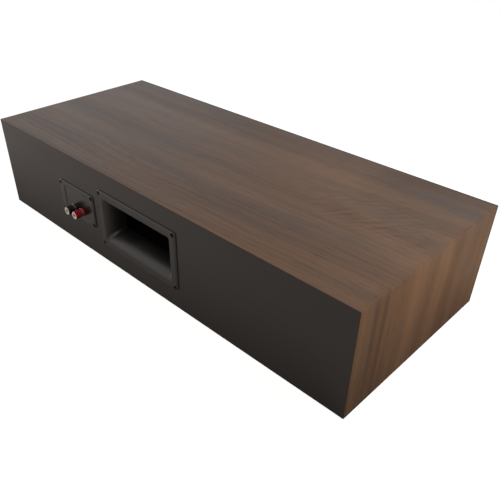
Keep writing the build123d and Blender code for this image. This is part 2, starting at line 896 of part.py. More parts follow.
# Horn tweeter: square mouth, nearly round throat
horn_angles = [radians(a) for a in (0, 18, 36, 54, 72, 90)]
horn_sections = [
    (
        front_y + horn_depth * (1 - cos(a)),
        horn_throat_size + (horn_mouth_size - horn_throat_size) * (1 - sin(a)),
        horn_mouth_corner_ratio + (horn_throat_corner_ratio - horn_mouth_corner_ratio) * sin(a) ** 2,
    )
    for a in horn_angles
]
horn_back_y = front_y + horn_depth
with BuildPart() as tweeter_horn:
    for y, size, corner in horn_sections:
        with BuildSketch(facing(y)):
            RectangleRounded(size + 2 * horn_wall, size + 2 * horn_wall, corner * (size + 2 * horn_wall))
    loft()
    with BuildSketch(facing(horn_back_y)):
        Circle(horn_collar_radius)
    extrude(amount=horn_collar_height)
    with BuildSketch(facing(front_y + horn_flange_thickness)):
        RectangleRounded(horn_flange_size, horn_flange_size, horn_flange_radius)
    extrude(amount=horn_flange_thickness)
    fillet(tweeter_horn.faces().sort_by(Axis.Y)[0].edges(), horn_flange_round)
    for y, size, corner in horn_sections:
        with BuildSketch(facing(y)):
            RectangleRounded(size, size, corner * size)
    loft(mode=Mode.SUBTRACT)
    with BuildSketch(facing(front_y + horn_flange_thickness)):
        with Locations(*horn_screw_places):
            Circle(screw_hole_radius)
    extrude(amount=horn_flange_thickness, mode=Mode.SUBTRACT)
    with BuildSketch(facing(front_y + screw_head_height)):
        with Locations(*horn_screw_places):
            Circle(head_pocket_radius)
    extrude(amount=screw_head_height, mode=Mode.SUBTRACT)
write(tweeter_horn.part, "tweeter_horn")

write(screws(horn_screw_places, front_y, -1), "tweeter_horn_screws")

# Tweeter motor, in depth from the baffle face
dome_radius = horn_throat_size / 2 - dome_clearance
dome_apex = horn_depth - dome_rise
dome_inner_radius = dome_radius - diaphragm_thickness
dome_inner_apex = dome_apex + diaphragm_thickness
diaphragm_back = horn_depth + diaphragm_rim_thickness
tweeter_plate_back = diaphragm_back + tweeter_plate_thickness
tweeter_magnet_back = tweeter_plate_back + tweeter_magnet_thickness
tweeter_yoke_back = tweeter_magnet_back + tweeter_yoke_thickness
with BuildPart() as tweeter_diaphragm:
    with BuildSketch(driver_plane(0)):
        with BuildLine():
            ThreePointArc(
                (0, dome_apex),
                dome_middle(dome_radius, dome_apex, dome_rise),
                (dome_radius, horn_depth),
            )
            Polyline(
                (dome_radius, horn_depth),
                (diaphragm_rim_radius, horn_depth),
                (diaphragm_rim_radius, diaphragm_back),
                (dome_inner_radius, diaphragm_back),
            )
            Polyline(
                (dome_inner_radius, diaphragm_back),
                dome_middle(dome_inner_radius, dome_inner_apex, diaphragm_back - dome_inner_apex),
                (0, dome_inner_apex),
                (0, dome_apex),
            )
        make_face()
    revolve(axis=driver_axis(0))
write(tweeter_diaphragm.part, "tweeter_diaphragm")

with BuildPart() as tweeter_plate:
    with BuildSketch(facing(front_y + tweeter_plate_back)):
        Circle(tweeter_plate_radius)
        Circle(tweeter_gap_radius, mode=Mode.SUBTRACT)
    extrude(amount=tweeter_plate_thickness)
write(tweeter_plate.part, "tweeter_front_plate")

with BuildPart() as tweeter_magnet:
    with BuildSketch(facing(front_y + tweeter_magnet_back)):
        Circle(tweeter_magnet_radius)
        Circle(tweeter_magnet_bore, mode=Mode.SUBTRACT)
    extrude(amount=tweeter_magnet_thickness)
write(tweeter_magnet.part, "tweeter_magnet")

with BuildPart() as tweeter_yoke:
    with BuildSketch(facing(front_y + tweeter_yoke_back)):
        Circle(tweeter_magnet_radius)
    extrude(amount=tweeter_yoke_thickness)
    with BuildSketch(facing(front_y + tweeter_magnet_back)):
        Circle(tweeter_pole_radius)
    extrude(amount=tweeter_magnet_back - diaphragm_back - tweeter_pole_setback)
write(tweeter_yoke.part, "tweeter_yoke")

# Woofers, in depth from the baffle face
surround_back = surround_setback + surround_lip_thickness
ledge_back = surround_back + surround_lip_thickness + basket_wall / 2
ledge_inner_radius = basket_inner_radius - basket_ledge
wall_rear_radius = basket_rear_radius - basket_wall
spider_back = spider_setback + spider_thickness
spider_ledge_back = spider_back + basket_wall
basket_back = basket_depth + basket_rear_thickness
motor_plate_back = basket_back + motor_plate_thickness
motor_magnet_back = motor_plate_back + motor_magnet_thickness
motor_yoke_back = motor_magnet_back + motor_yoke_thickness
roll_centre_radius = basket_inner_radius - surround_outer_lip - surround_roll_radius
cone_rim_radius = roll_centre_radius - surround_roll_radius
cone_rim_inner = cone_rim_radius - surround_inner_lip
cone_back = surround_back + cone_thickness
valley_depth = surround_back + cone_valley_drop
back_valley = valley_depth + cone_thickness
cap_depth = valley_depth - cap_rise
former_outer_radius = coil_bore_radius + coil_former_thickness
coil_outer_radius = former_outer_radius + coil_winding_thickness
collar_inner = former_outer_radius + coil_glue_gap
collar_outer = collar_inner + coil_collar_thickness


def wall_radius(depth):
    """Inner radius of the basket's sloping wall at a depth."""
    slope = (wall_rear_radius - ledge_inner_radius) / (basket_depth - ledge_back)
    return ledge_inner_radius + slope * (depth - ledge_back)


with BuildPart() as woofer_baskets:
    for x in woofer_xs:
        with BuildSketch(driver_plane(x)):
            with BuildLine():
                Polyline(
                    (basket_inner_radius, 0),
                    (woofer_flange_radius - woofer_flange_chamfer, 0),
                    (woofer_flange_radius, woofer_flange_chamfer),
                    (woofer_flange_radius, woofer_flange_thickness),
                    (basket_inner_radius + basket_wall, woofer_flange_thickness),
                    (basket_inner_radius + basket_wall, ledge_back),
                    (basket_rear_radius, basket_back),
                    (basket_rear_bore, basket_back),
                    (basket_rear_bore, basket_depth),
                    (wall_rear_radius, basket_depth),
                    (wall_radius(spider_ledge_back), spider_ledge_back),
                    (spider_radius - spider_ledge, spider_ledge_back),
                    (spider_radius - spider_ledge, spider_back),
                    (wall_radius(spider_back), spider_back),
                    (ledge_inner_radius, ledge_back),
                    (ledge_inner_radius, surround_back),
                    (basket_inner_radius, surround_back),
                    close=True,
                )
            make_face()
        revolve(axis=driver_axis(x))
    with BuildSketch(facing(front_y + basket_window_back)):
        with Locations(*woofer_centres):
            Circle(woofer_flange_radius)
            with PolarLocations(woofer_flange_radius / 2, basket_spokes):
                Rectangle(woofer_flange_radius, basket_spoke_width, mode=Mode.SUBTRACT)
    extrude(amount=basket_window_back - basket_window_front, mode=Mode.SUBTRACT)
    with BuildSketch(facing(front_y + woofer_flange_thickness)):
        with Locations(*woofer_screw_places):
            Circle(screw_hole_radius)
    extrude(amount=woofer_flange_thickness, mode=Mode.SUBTRACT)
    with BuildSketch(facing(front_y + screw_head_height)):
        with Locations(*woofer_screw_places):
            Circle(head_pocket_radius)
    extrude(amount=screw_head_height, mode=Mode.SUBTRACT)
write(woofer_baskets.part, "woofer_baskets")

write(screws(woofer_screw_places, front_y, -1), "woofer_screws")

# Surround: a half roll between two flat lips
inside_roll = surround_roll_radius - surround_skin
roll_angles = [radians(a) for a in (0, 36, 72, 108, 144, 180)]
under_roll = [
    (roll_centre_radius + inside_roll * cos(a), surround_setback - inside_roll * sin(a))
    for a in roll_angles
]
over_roll = [
    (roll_centre_radius - surround_roll_radius * cos(a), surround_setback - surround_roll_radius * sin(a))
    for a in roll_angles
]
with BuildPart() as woofer_surrounds:
    for x in woofer_xs:
        with BuildSketch(driver_plane(x)):
            with BuildLine():
                Polyline(
                    (basket_inner_radius - board_fit, surround_setback),
                    (basket_inner_radius - board_fit, surround_back),
                    (roll_centre_radius + inside_roll, surround_back),
                    *under_roll,
                    (roll_centre_radius - inside_roll, surround_back),
                    (cone_rim_inner, surround_back),
                    (cone_rim_inner, surround_setback),
                    *over_roll,
                    close=True,
                )
            make_face()
        revolve(axis=driver_axis(x))
write(woofer_surrounds.part, "woofer_surrounds")

# Spider: flat at both rims, with concentric folds between
spider_inner_radius = collar_inner
fold_start = collar_outer + 1.0
fold_end = spider_radius - spider_ledge
fold_pitch = (fold_end - fold_start) / (2 * spider_rolls)
fold_points = [(fold_start, 0.0)]
for i in range(2 * spider_rolls - 1):
    rise = -spider_roll_height if i % 2 == 0 else spider_roll_height
    fold_points.append((fold_start + fold_pitch * (i + 1), rise))
fold_points.append((fold_end, 0.0))
with BuildPart() as woofer_spiders:
    for x in woofer_xs:
        front_side = [(spider_inner_radius, spider_setback)]
        front_side += [(r, spider_setback + rise) for r, rise in fold_points]
        front_side += [(spider_radius, spider_setback)]
        back_side = [(r, d + spider_thickness) for r, d in reversed(front_side)]
        with BuildSketch(driver_plane(x)):
            with BuildLine():
                Polyline(*front_side, *back_side, close=True)
            make_face()
        revolve(axis=driver_axis(x))
write(woofer_spiders.part, "woofer_spiders")

for number, x in enumerate(woofer_xs, start=1):
    with BuildPart() as cone:
        with BuildSketch(driver_plane(x)):
            with BuildLine():
                Polyline(
                    (cone_valley_radius, valley_depth),
                    (cone_rim_inner, surround_back),
                    (cone_rim_radius, surround_back),
                    (cone_rim_radius, cone_back),
                    (cone_rim_inner, cone_back),
                    (cone_valley_radius, back_valley),
                    (collar_outer, back_valley),
                    (collar_outer, back_valley + coil_collar_length),
                    (collar_inner, back_valley + coil_collar_length),
                    (collar_inner, back_valley),
                )
                Polyline(
                    (collar_inner, back_valley),
                    dome_middle(collar_inner, cap_depth + cone_thickness, cap_rise),
                    (0, cap_depth + cone_thickness),
                    (0, cap_depth),
                )
                ThreePointArc(
                    (0, cap_depth),
                    dome_middle(cone_valley_radius, cap_depth, cap_rise),
                    (cone_valley_radius, valley_depth),
                )
            make_face()
        revolve(axis=driver_axis(x))
    write(cone.part, f"woofer_{number}_cone")

    coil_front = back_valley + coil_glue_gap
    coil_back = coil_front + coil_length
    with BuildPart() as coil:
        with BuildSketch(driver_plane(x)):
            with BuildLine():
                Polyline(
                    (coil_bore_radius, coil_front),
                    (former_outer_radius, coil_front),
                    (former_outer_radius, coil_back - coil_winding_length),
                    (coil_outer_radius, coil_back - coil_winding_length),
                    (coil_outer_radius, coil_back),
                    (coil_bore_radius, coil_back),
                    close=True,
                )
            make_face()
        revolve(axis=driver_axis(x))
    write(coil.part, f"woofer_{number}_voice_coil")

with BuildPart() as woofer_plates:
    with BuildSketch(facing(front_y + motor_plate_back)):
        with Locations(*woofer_centres):
            Circle(motor_plate_radius)
            Circle(motor_gap_radius, mode=Mode.SUBTRACT)
    extrude(amount=motor_plate_thickness)
write(woofer_plates.part, "woofer_front_plates")

with BuildPart() as woofer_magnets:
    with BuildSketch(facing(front_y + motor_magnet_back)):
        with Locations(*woofer_centres):
            Circle(motor_magnet_radius)
            Circle(motor_magnet_bore, mode=Mode.SUBTRACT)
    extrude(amount=motor_magnet_thickness)
write(woofer_magnets.part, "woofer_magnets")

with BuildPart() as woofer_yokes:
    with BuildSketch(facing(front_y + motor_yoke_back)):
        with Locations(*woofer_centres):
            Circle(motor_yoke_radius)
    extrude(amount=motor_yoke_thickness)
    with BuildSketch(facing(front_y + motor_magnet_back)):
        with Locations(*woofer_centres):
            Circle(motor_pole_radius)
    extrude(amount=motor_magnet_back - basket_back)
    with BuildSketch(facing(front_y + motor_yoke_back)):
        with Locations(*woofer_centres):
            Circle(motor_pole_vent)
    extrude(amount=motor_yoke_back - basket_back, mode=Mode.SUBTRACT)
write(woofer_yokes.part, "woofer_yokes")

tab_inner = motor_plate_radius + 0.5
with BuildPart() as woofer_tabs:
    with BuildSketch(facing(front_y + basket_back + tab_thickness)):
        with Locations(*[(x, -(tab_inner + tab_reach) / 2) for x in woofer_xs]):
            Rectangle(tab_width, tab_reach - tab_inner)
    extrude(amount=tab_thickness)
write(woofer_tabs.part, "woofer_lead_tabs")

# Driver leads lie on the cabinet floor and rise to the crossover's front block.
tab_y = front_y + basket_back + tab_thickness
tab_z = axis_z - tab_reach + tab_hole_inset
tab_run_y = tab_y + lead_tab_run
rest_z = wrap_wall + lead_radius + lead_rest_gap
way_xs = [crossover_x + way_pitch * i for i in (-2, -1, 0, 1, 2)]
way_y = block_front_y - way_run
tweeter_lead_z = axis_z - tweeter_lead_drop
lead_points = [
    [
        (tweeter_lead_x, front_y + tweeter_yoke_back, tweeter_lead_z),
        (tweeter_lead_x, lead_notch_y, tweeter_lead_z),
        (way_xs[0] - tweeter_lead_run, way_y - lead_spacing, way_z + lead_spacing),
        (way_xs[0], way_y, way_z),
        (way_xs[0], block_front_y, way_z),
    ],
    [
        (-outer_woofer_x, tab_y, tab_z),
        (-outer_woofer_x, tab_run_y, tab_z),
        (lead_drop_run - outer_woofer_x, lead_notch_y + lead_spacing, rest_z),
        (way_xs[1] - lead_rise_run, lead_notch_y + lead_spacing, rest_z),
        (way_xs[1], way_y, way_z),
        (way_xs[1], block_front_y, way_z),
    ],
    [
        (-inner_woofer_x, tab_y, tab_z),
        (-inner_woofer_x, tab_run_y, tab_z),
        (lead_drop_run - inner_woofer_x, lead_notch_y - lead_spacing, rest_z),
        (way_xs[2] - lead_rise_run, lead_notch_y - lead_spacing, rest_z),
        (way_xs[2], way_y, way_z),
        (way_xs[2], block_front_y, way_z),
    ],
    [
        (inner_woofer_x, tab_y, tab_z),
        (inner_woofer_x, tab_run_y, tab_z),
        (way_xs[3], way_y - way_run, way_z),
        (way_xs[3], block_front_y, way_z),
    ],
    [
        (outer_woofer_x, tab_y, tab_z),
        (outer_woofer_x, tab_run_y, tab_z),
        (outer_woofer_x - lead_drop_run, lead_notch_y, rest_z),
        (way_xs[4] + lead_rise_run, lead_notch_y, rest_z),
        (way_xs[4], way_y, way_z),
        (way_xs[4], block_front_y, way_z),
    ],
]
with BuildPart() as driver_leads:
    for points in lead_points:
        add(lead(points))
write(driver_leads.part, "driver_leads")
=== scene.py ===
"""Looks of a center channel loudspeaker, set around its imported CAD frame.

Everything is in metres in the CAD frame: the origin is the middle of the underside, +Z is
up, the drivers face -Y and the port and the terminals are on the +Y side.
"""

from __future__ import annotations

import json
import logging
import math
from dataclasses import dataclass, field
from enum import Enum
from typing import Sequence, Union

import bmesh
import bpy
import numpy as np
from mathutils import Matrix, Vector

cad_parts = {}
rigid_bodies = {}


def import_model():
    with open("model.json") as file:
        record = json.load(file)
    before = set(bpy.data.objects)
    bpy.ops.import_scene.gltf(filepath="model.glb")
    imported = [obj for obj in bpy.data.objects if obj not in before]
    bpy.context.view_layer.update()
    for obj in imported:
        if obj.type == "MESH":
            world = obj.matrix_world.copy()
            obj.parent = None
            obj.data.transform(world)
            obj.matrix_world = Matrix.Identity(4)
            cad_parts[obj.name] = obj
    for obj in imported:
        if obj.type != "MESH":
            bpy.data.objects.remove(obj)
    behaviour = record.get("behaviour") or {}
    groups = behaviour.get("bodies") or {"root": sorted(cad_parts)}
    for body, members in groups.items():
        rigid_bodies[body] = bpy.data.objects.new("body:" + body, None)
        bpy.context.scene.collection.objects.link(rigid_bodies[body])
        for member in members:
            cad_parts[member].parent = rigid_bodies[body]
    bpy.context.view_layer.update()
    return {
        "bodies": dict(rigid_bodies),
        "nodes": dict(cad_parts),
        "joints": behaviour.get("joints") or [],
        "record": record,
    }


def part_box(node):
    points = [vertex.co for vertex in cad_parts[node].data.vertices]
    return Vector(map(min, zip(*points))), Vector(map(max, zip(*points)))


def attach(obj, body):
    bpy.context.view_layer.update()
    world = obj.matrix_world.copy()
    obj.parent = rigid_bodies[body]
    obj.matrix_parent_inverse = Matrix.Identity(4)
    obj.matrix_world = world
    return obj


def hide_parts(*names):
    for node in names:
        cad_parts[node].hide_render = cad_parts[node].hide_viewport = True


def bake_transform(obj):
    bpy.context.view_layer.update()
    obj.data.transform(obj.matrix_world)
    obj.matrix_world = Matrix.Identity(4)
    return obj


LOG = logging.getLogger("speaker")

FULL_TURN = 6.283
HALF_TURN = 3.1416
MIX_COLORS = (6, 7)
MIX_RESULT = 2
WHITE = (1.0, 1.0, 1.0)
COOL_LIGHT = (0.66, 0.85, 1.0)

Color = tuple[float, float, float]
Stops = tuple[tuple[float, float], ...]
Feed = Union[bpy.types.NodeSocket, float, Sequence[float]]


class Pattern(Enum):
    """How a surface varies over its area."""

    PLAIN_GRAIN = "plain_grain"
    FILM_GRAIN = "film_grain"
    CAST = "cast"
    TURNED = "turned"
    WOVEN = "woven"
    FIBRES = "fibres"
    CHIPS = "chips"
    WOUND = "wound"


class Tree:
    """A shader node tree that is built call by call."""

    def __init__(self, tree: bpy.types.NodeTree) -> None:
        """Start building.

        Args:
            tree: The node tree to add to.
        """
        self.tree = tree

    def node(self, kind: str, **settings: object) -> bpy.types.Node:
        """Add a node.

        Args:
            kind: Blender's name of the node type.
            **settings: Properties of the node and their values.

        Returns:
            The new node.
        """
        made = self.tree.nodes.new(kind)
        for name, value in settings.items():
            setattr(made, name, value)
        return made

    def feed(self, socket: bpy.types.NodeSocket, item: Feed) -> None:
        """Link a socket, or set its value.

        Args:
            socket: The input to feed.
            item: Another node's output, or a plain value.
        """
        if isinstance(item, bpy.types.NodeSocket):
            self.tree.links.new(item, socket)
        else:
            socket.default_value = item

    def math(self, operation: str, *items: Feed, clamp: bool = False) -> bpy.types.NodeSocket:
        """Add a Math node.

        Args:
            operation: Blender's name of the operation.
            *items: What goes into its inputs.
            clamp: Whether the result is held from 0 to 1.

        Returns:
            The result.
        """
        made = self.node("ShaderNodeMath", operation=operation, use_clamp=clamp)
        for index, item in enumerate(items):
            self.feed(made.inputs[index], item)
        return made.outputs[0]

    def pack(self, x: Feed, y: Feed, z: Feed) -> bpy.types.NodeSocket:
        """Join three numbers to a vector.

        Args:
            x: First number.
            y: Second number.
            z: Third number.

        Returns:
            The vector.
        """
        made = self.node("ShaderNodeCombineXYZ")
        for index, item in enumerate((x, y, z)):
            self.feed(made.inputs[index], item)
        return made.outputs[0]

    def split(self, vector: Feed) -> tuple[bpy.types.NodeSocket, ...]:
        """Take a vector apart.

        Args:
            vector: The vector.

        Returns:
            Its three numbers.
        """
        made = self.node("ShaderNodeSeparateXYZ")
        self.feed(made.inputs[0], vector)
        return tuple(made.outputs)

    def noise(
        self,
        vector: Feed,
        scale: Feed = 1.0,
        detail: float = 2.0,
        roughness: float = 0.5,
        distortion: float = 0.0,
    ) -> bpy.types.NodeSocket:
        """Add a noise texture.

        Args:
            vector: Where the texture is read.
            scale: Its scale.
            detail: How many finer layers it has.
            roughness: How strong the finer layers are.
            distortion: How far it is distorted.

        Returns:
            A value round 0.5.
        """
        made = self.node("ShaderNodeTexNoise")
        self.feed(made.inputs["Vector"], vector)
        self.feed(made.inputs["Scale"], scale)
        made.inputs["Detail"].default_value = detail
        made.inputs["Roughness"].default_value = roughness
        made.inputs["Distortion"].default_value = distortion
        return made.outputs["Fac"]

    def span(
        self, value: Feed, low: float, high: float, to_low: float = 0.0, to_high: float = 1.0
    ) -> bpy.types.NodeSocket:
        """Map a range of values to another, held at its ends.

        Args:
            value: The value.
            low: Start of its range.
            high: End of its range.
            to_low: Result at the start.
            to_high: Result at the end.

        Returns:
            The mapped value.
        """
        made = self.node("ShaderNodeMapRange")
        for index, item in enumerate((value, low, high, to_low, to_high)):
            self.feed(made.inputs[index], item)
        return made.outputs[0]

    def mix(self, share: Feed, first: Feed, second: Feed) -> bpy.types.NodeSocket:
        """Mix two colours.

        Args:
            share: Share of the second colour.
            first: First colour.
            second: Second colour.

        Returns:
            The mixed colour.
        """
        made = self.node("ShaderNodeMix", data_type="RGBA")
        self.feed(made.inputs[0], share)
        for index, item in zip(MIX_COLORS, (first, second)):
            linked = isinstance(item, bpy.types.NodeSocket)
            self.feed(made.inputs[index], item if linked else (*item, 1.0))
        return made.outputs[MIX_RESULT]

    def ramp(self, value: Feed, stops: Stops) -> bpy.types.NodeSocket:
        """Draw a smooth line of grey values over a value from 0 to 1.

        Args:
            value: The value.
            stops: Places and their grey levels.

        Returns:
            The grey level.
        """
        made = self.node("ShaderNodeValToRGB")
        bar = made.color_ramp
        bar.interpolation = "EASE"
        while len(bar.elements) < len(stops):
            bar.elements.new(1.0)
        for element, (place, level) in zip(bar.elements, stops):
            element.position = place
            element.color = (level, level, level, 1.0)
        self.feed(made.inputs[0], value)
        return made.outputs[0]


def new_group(name: str, inputs: Sequence[tuple[str, float]], outputs: Sequence[tuple[str, str]]) -> Tree:
    """Start a shader node group.

    Args:
        name: Name of the group.
        inputs: Names of its numbers and their defaults.
        outputs: Names of its results and their socket types.

    Returns:
        The group's tree, with a Group Input and a Group Output node.
    """
    group = bpy.data.node_groups.new(name, "ShaderNodeTree")
    for label, default in inputs:
        socket = group.interface.new_socket(label, in_out="INPUT", socket_type="NodeSocketFloat")
        socket.default_value = default
    for label, kind in outputs:
        group.interface.new_socket(label, in_out="OUTPUT", socket_type=kind)
    tree = Tree(group)
    tree.node("NodeGroupInput", name="Start")
    tree.node("NodeGroupOutput", name="End")
    return tree


@dataclass(frozen=True)
class Sheet:
    """Places on the flat sheet of film, before it was folded round the cabinet."""

    tree: Tree
    along: bpy.types.NodeSocket
    across: bpy.types.NodeSocket
    bent: bpy.types.NodeSocket
    past_fold: bpy.types.NodeSocket


@dataclass(frozen=True)
class Layer:
    """A layer of noise: its turns a metre along and across the grain, and what is cut to 0 to 1."""

    along: float
    across: float
    seed: float
    detail: float = 2.0
    roughness: float = 0.5
    cut: tuple[float, float] = (0.0, 1.0)

    def noise(self, tree: Tree, along: Feed, across: Feed) -> bpy.types.NodeSocket:
        """Add the layer's noise.

        Args:
            tree: The tree to add to.
            along: Place along the grain.
            across: Place across the grain.

        Returns:
            A value round 0.5.
        """
        far = tree.math("MULTIPLY", along, self.along)
        aside = tree.math("MULTIPLY", across, self.across)
        return tree.noise(tree.pack(far, aside, self.seed), 1.0, self.detail, self.roughness)

    def mask(self, tree: Tree, along: Feed, across: Feed) -> bpy.types.NodeSocket:
        """Add the layer's noise, cut to its range.

        Args:
            tree: The tree to add to.
            along: Place along the grain.
            across: Place across the grain.

        Returns:
            A value from 0 to 1.
        """
        return tree.span(self.noise(tree, along, across), *self.cut)


@dataclass(frozen=True)
class Patch:
    """A soft oval patch of the sheet, by its middle and its half sizes along and across the grain."""

    middle: tuple[float, float]
    reach: tuple[float, float]
    core: float = 0.3

    def mask(self, sheet: Sheet) -> bpy.types.NodeSocket:
        """Mark the patch.

        Args:
            sheet: Places on the sheet.

        Returns:
            1 in the middle of the patch and 0 outside it.
        """
        tree = sheet.tree
        squares = []
        for item, at, size in zip((sheet.along, sheet.across), self.middle, self.reach):
            off = tree.math("DIVIDE", tree.math("SUBTRACT", item, at), size)
            squares.append(tree.math("MULTIPLY", off, off))
        return tree.span(tree.math("ADD", *squares), self.core, 1.0, 1.0, 0.0)


@dataclass(frozen=True)
class WalnutGrain:
    """Print of the walnut-look film, which runs over the top and on down both ends, with painted shade and a
    painted reflection laid into its colour.
    """

    half_width: float = 0.335
    half_depth: float = 0.14
    height: float = 0.142
    light: Color = (0.198, 0.117, 0.075)
    dark: Color = (0.080, 0.051, 0.038)
    # Painted light: the ends get more saturated copies of the top's colours, standing in for the reflection
    # that shows on the top and not on the ends.
    end_light: Color = (0.212, 0.109, 0.053)
    end_dark: Color = (0.069, 0.037, 0.020)
    pore: Color = (0.036, 0.021, 0.014)
    warm: Color = (0.245, 0.124, 0.056)
    # Colour of the cool grey streaks of the print, which on the top also stand in for a painted reflection.
    streak_and_reflection_color: Color = (0.092, 0.074, 0.066)
    # Dark colour of the front trim, also used for the painted shade along the foot.
    front_trim_and_foot_shade: Color = (0.012, 0.011, 0.010)
    trim_edge: float = -0.1355
    # Painted shade: a thin dark line along the bottom edge of each end, where the rounded edge faces down.
    foot_shade_line: float = 0.0014
    fold_blend: float = 0.012
    # Painted shade on the rounded edge between the top and each end, laid on by how far a face is turned.
    fold_shade_rise: tuple[float, float] = (0.1, 0.4)
    fold_shade_fall: tuple[float, float] = (0.85, 0.98)
    end_facing: float = 0.6
    bands: Stops = (
        (0.0, 0.22), (0.13, 0.30), (0.27, 0.78), (0.41, 0.70),
        (0.52, 0.42), (0.66, 0.74), (0.83, 0.34), (1.0, 0.46),
    )
    end_bands: Stops = (
        (0.0, 0.76), (0.13, 0.76), (0.31, 0.40), (0.39, 0.60), (0.48, 0.58),
        (0.58, 0.76), (0.76, 0.56), (0.88, 0.30), (1.0, 0.62),
    )
    heart: Stops = ((0.0, 0.0), (0.812, 0.0), (0.838, 1.0), (0.868, 0.55), (0.898, 1.0), (0.924, 0.0))
    # Painted shade: a tone falloff that darkens each end towards its bottom and the top towards the +X end.
    painted_falloff: Stops = (
        (0.0, 0.0), (0.15, 0.80), (0.32, 0.66), (0.55, 0.62), (0.80, 0.48), (0.86, 0.42), (1.0, 0.25),
    )
    painted_falloff_mean: float = 0.65
    drift: Layer = Layer(2.2, 5.0, 1.7)
    drift_reach: float = 0.045
    streaks: Layer = Layer(1.9, 40.0, 4.0, 4.0, 0.60, (0.30, 0.70))
    lines: Layer = Layer(3.0, 270.0, 5.0, 3.0, 0.55, (0.34, 0.62))
    fibres: Layer = Layer(9.0, 460.0, 9.0, 3.0, 0.6, (0.25, 0.75))
    pores: Layer = Layer(34.0, 800.0, 2.0, 1.0, 0.4, (0.62, 0.72))
    curl: Layer = Layer(6.0, 11.0, 12.0, cut=(0.52, 0.72))
    ripple: Layer = Layer(150.0, 21.0, 15.0)
    glow: Layer = Layer(2.6, 24.0, 6.0, cut=(0.42, 0.72))
    # Cool streaks: partly print, partly a painted reflection on the top.
    cool_streaks_and_reflection: Layer = Layer(4.2, 26.0, 21.0, 3.0, 0.55, (0.50, 0.70))
    figure: Patch = Patch((-0.245, -0.012), (0.10, 0.05))
    # Painted shade: a soft darker patch at the front of the top, near the -X end.
    painted_shade_patch: Patch = Patch((-0.29, -0.10), (0.12, 0.085))
    base_tone: float = 0.10
    painted_falloff_share: float = 0.50
    band_share: float = 0.46
    streak_share: float = 0.30
    fibre_share: float = 0.10
    ripple_share: float = 1.3
    curl_share: float = 0.4
    painted_shade_share: float = -0.30
    line_range: tuple[float, float] = (0.0, 0.12)
    line_shares: tuple[float, float] = (0.16, 0.36)
    # Painted light: the warm streaks count more on the ends than on the top, as part of the ends' more
    # saturated copy.
    glow_shares: tuple[float, float] = (0.50, 0.95)
    # The cool streaks count far more on the top than on the ends, because on the top they are also a painted
    # reflection of the bright surroundings.
    streak_and_reflection_shares: tuple[float, float] = (0.62, 0.15)
    heart_share: float = 0.70
    fold_shade_share: float = 0.35
    foot_shade_share: float = 0.7
    pore_share: float = 0.45
    gloss_tones: tuple[float, float] = (0.2, 0.8)
    gloss_levels: tuple[float, float] = (0.50, 0.42)
    fibre_height: float = 0.4
    pore_height: float = -0.6

    def group(self) -> bpy.types.NodeTree:
        """Build the grain.

        Returns:
            A group with the outputs Color, Roughness and Height.
        """
        tree = new_group(
            "walnut_grain",
            (),
            (("Color", "NodeSocketColor"), ("Roughness", "NodeSocketFloat"), ("Height", "NodeSocketFloat")),
        )
        sheet = self.sheet(tree)
        fibres = self.fibres.noise(tree, sheet.along, sheet.bent)
        pores = self.pores.mask(tree, sheet.along, sheet.bent)
        tone = self.tone(sheet, fibres)
        color = tree.mix(tree.math("MULTIPLY", pores, self.pore_share), self.color(sheet, tone), self.pore)
        height = self.added(tree, (fibres, self.fibre_height), (pores, self.pore_height), clamp=False)
        end = tree.tree.nodes["End"]
        tree.feed(end.inputs["Color"], color)
        tree.feed(end.inputs["Roughness"], tree.span(tone, *self.gloss_tones, *self.gloss_levels))
        tree.feed(end.inputs["Height"], height)
        return tree.tree

    def sheet(self, tree: Tree) -> Sheet:
        """Find the place on the flat sheet before it was folded round the cabinet.

        Args:
            tree: The tree to add to.

        Returns:
            The places, of which the bent one strays with the grain.
        """
        x, across, z = tree.split(tree.node("ShaderNodeTexCoord").outputs["Object"])
        is_end = tree.math("GREATER_THAN", self.turned(tree), self.end_facing)
        fold = tree.math("SUBTRACT", self.half_width + self.height, z)
        on_end = tree.math("MULTIPLY", tree.math("SIGN", x), fold)
        along = tree.math("ADD", x, tree.math("MULTIPLY", tree.math("SUBTRACT", on_end, x), is_end))
        stray = tree.math("SUBTRACT", self.drift.noise(tree, along, across), 0.5)
        bent = tree.math("ADD", across, tree.math("MULTIPLY", stray, self.drift_reach))
        past_fold = tree.span(
            tree.math("ABSOLUTE", along), self.half_width - self.fold_blend, self.half_width + self.fold_blend
        )
        return Sheet(tree, along, across, bent, past_fold)

    def turned(self, tree: Tree) -> bpy.types.NodeSocket:
        """Tell how far a face is turned towards either end.

        Args:
            tree: The tree to add to.

        Returns:
            0 on the top and 1 on an end.
        """
        normal = tree.split(tree.node("ShaderNodeNewGeometry").outputs["True Normal"])
        return tree.math("ABSOLUTE", normal[0])

    def tone(self, sheet: Sheet, fibres: bpy.types.NodeSocket) -> bpy.types.NodeSocket:
        """Add up the bands, streaks, lines and figure, with a painted shade falloff and a painted shade
        patch.

        Args:
            sheet: Places on the sheet.
            fibres: The finest noise.

        Returns:
            0 where the print is dark, up to about 1 where it is light.
        """
        tree, along, bent = sheet.tree, sheet.along, sheet.bent
        top_bands = tree.ramp(tree.span(bent, -self.half_depth, self.half_depth), self.bands)
        end_bands = tree.ramp(self.breadth(sheet), self.end_bands)
        step = tree.math("MULTIPLY", tree.math("SUBTRACT", end_bands, top_bands), sheet.past_fold)
        lines = tree.math("SUBTRACT", self.lines.mask(tree, along, bent), 0.5)
        line_share = tree.span(sheet.across, *self.line_range, *self.line_shares)
        curl = tree.math("MULTIPLY", self.curl.mask(tree, along, bent), self.curl_share)
        figured = tree.math("MAXIMUM", curl, self.figure.mask(sheet))
        stroke = tree.math("ADD", along, bent)
        beside = tree.math("SUBTRACT", along, bent)
        ripple = tree.math("SUBTRACT", self.ripple.noise(tree, beside, stroke), 0.5)
        reach = self.half_width + self.height
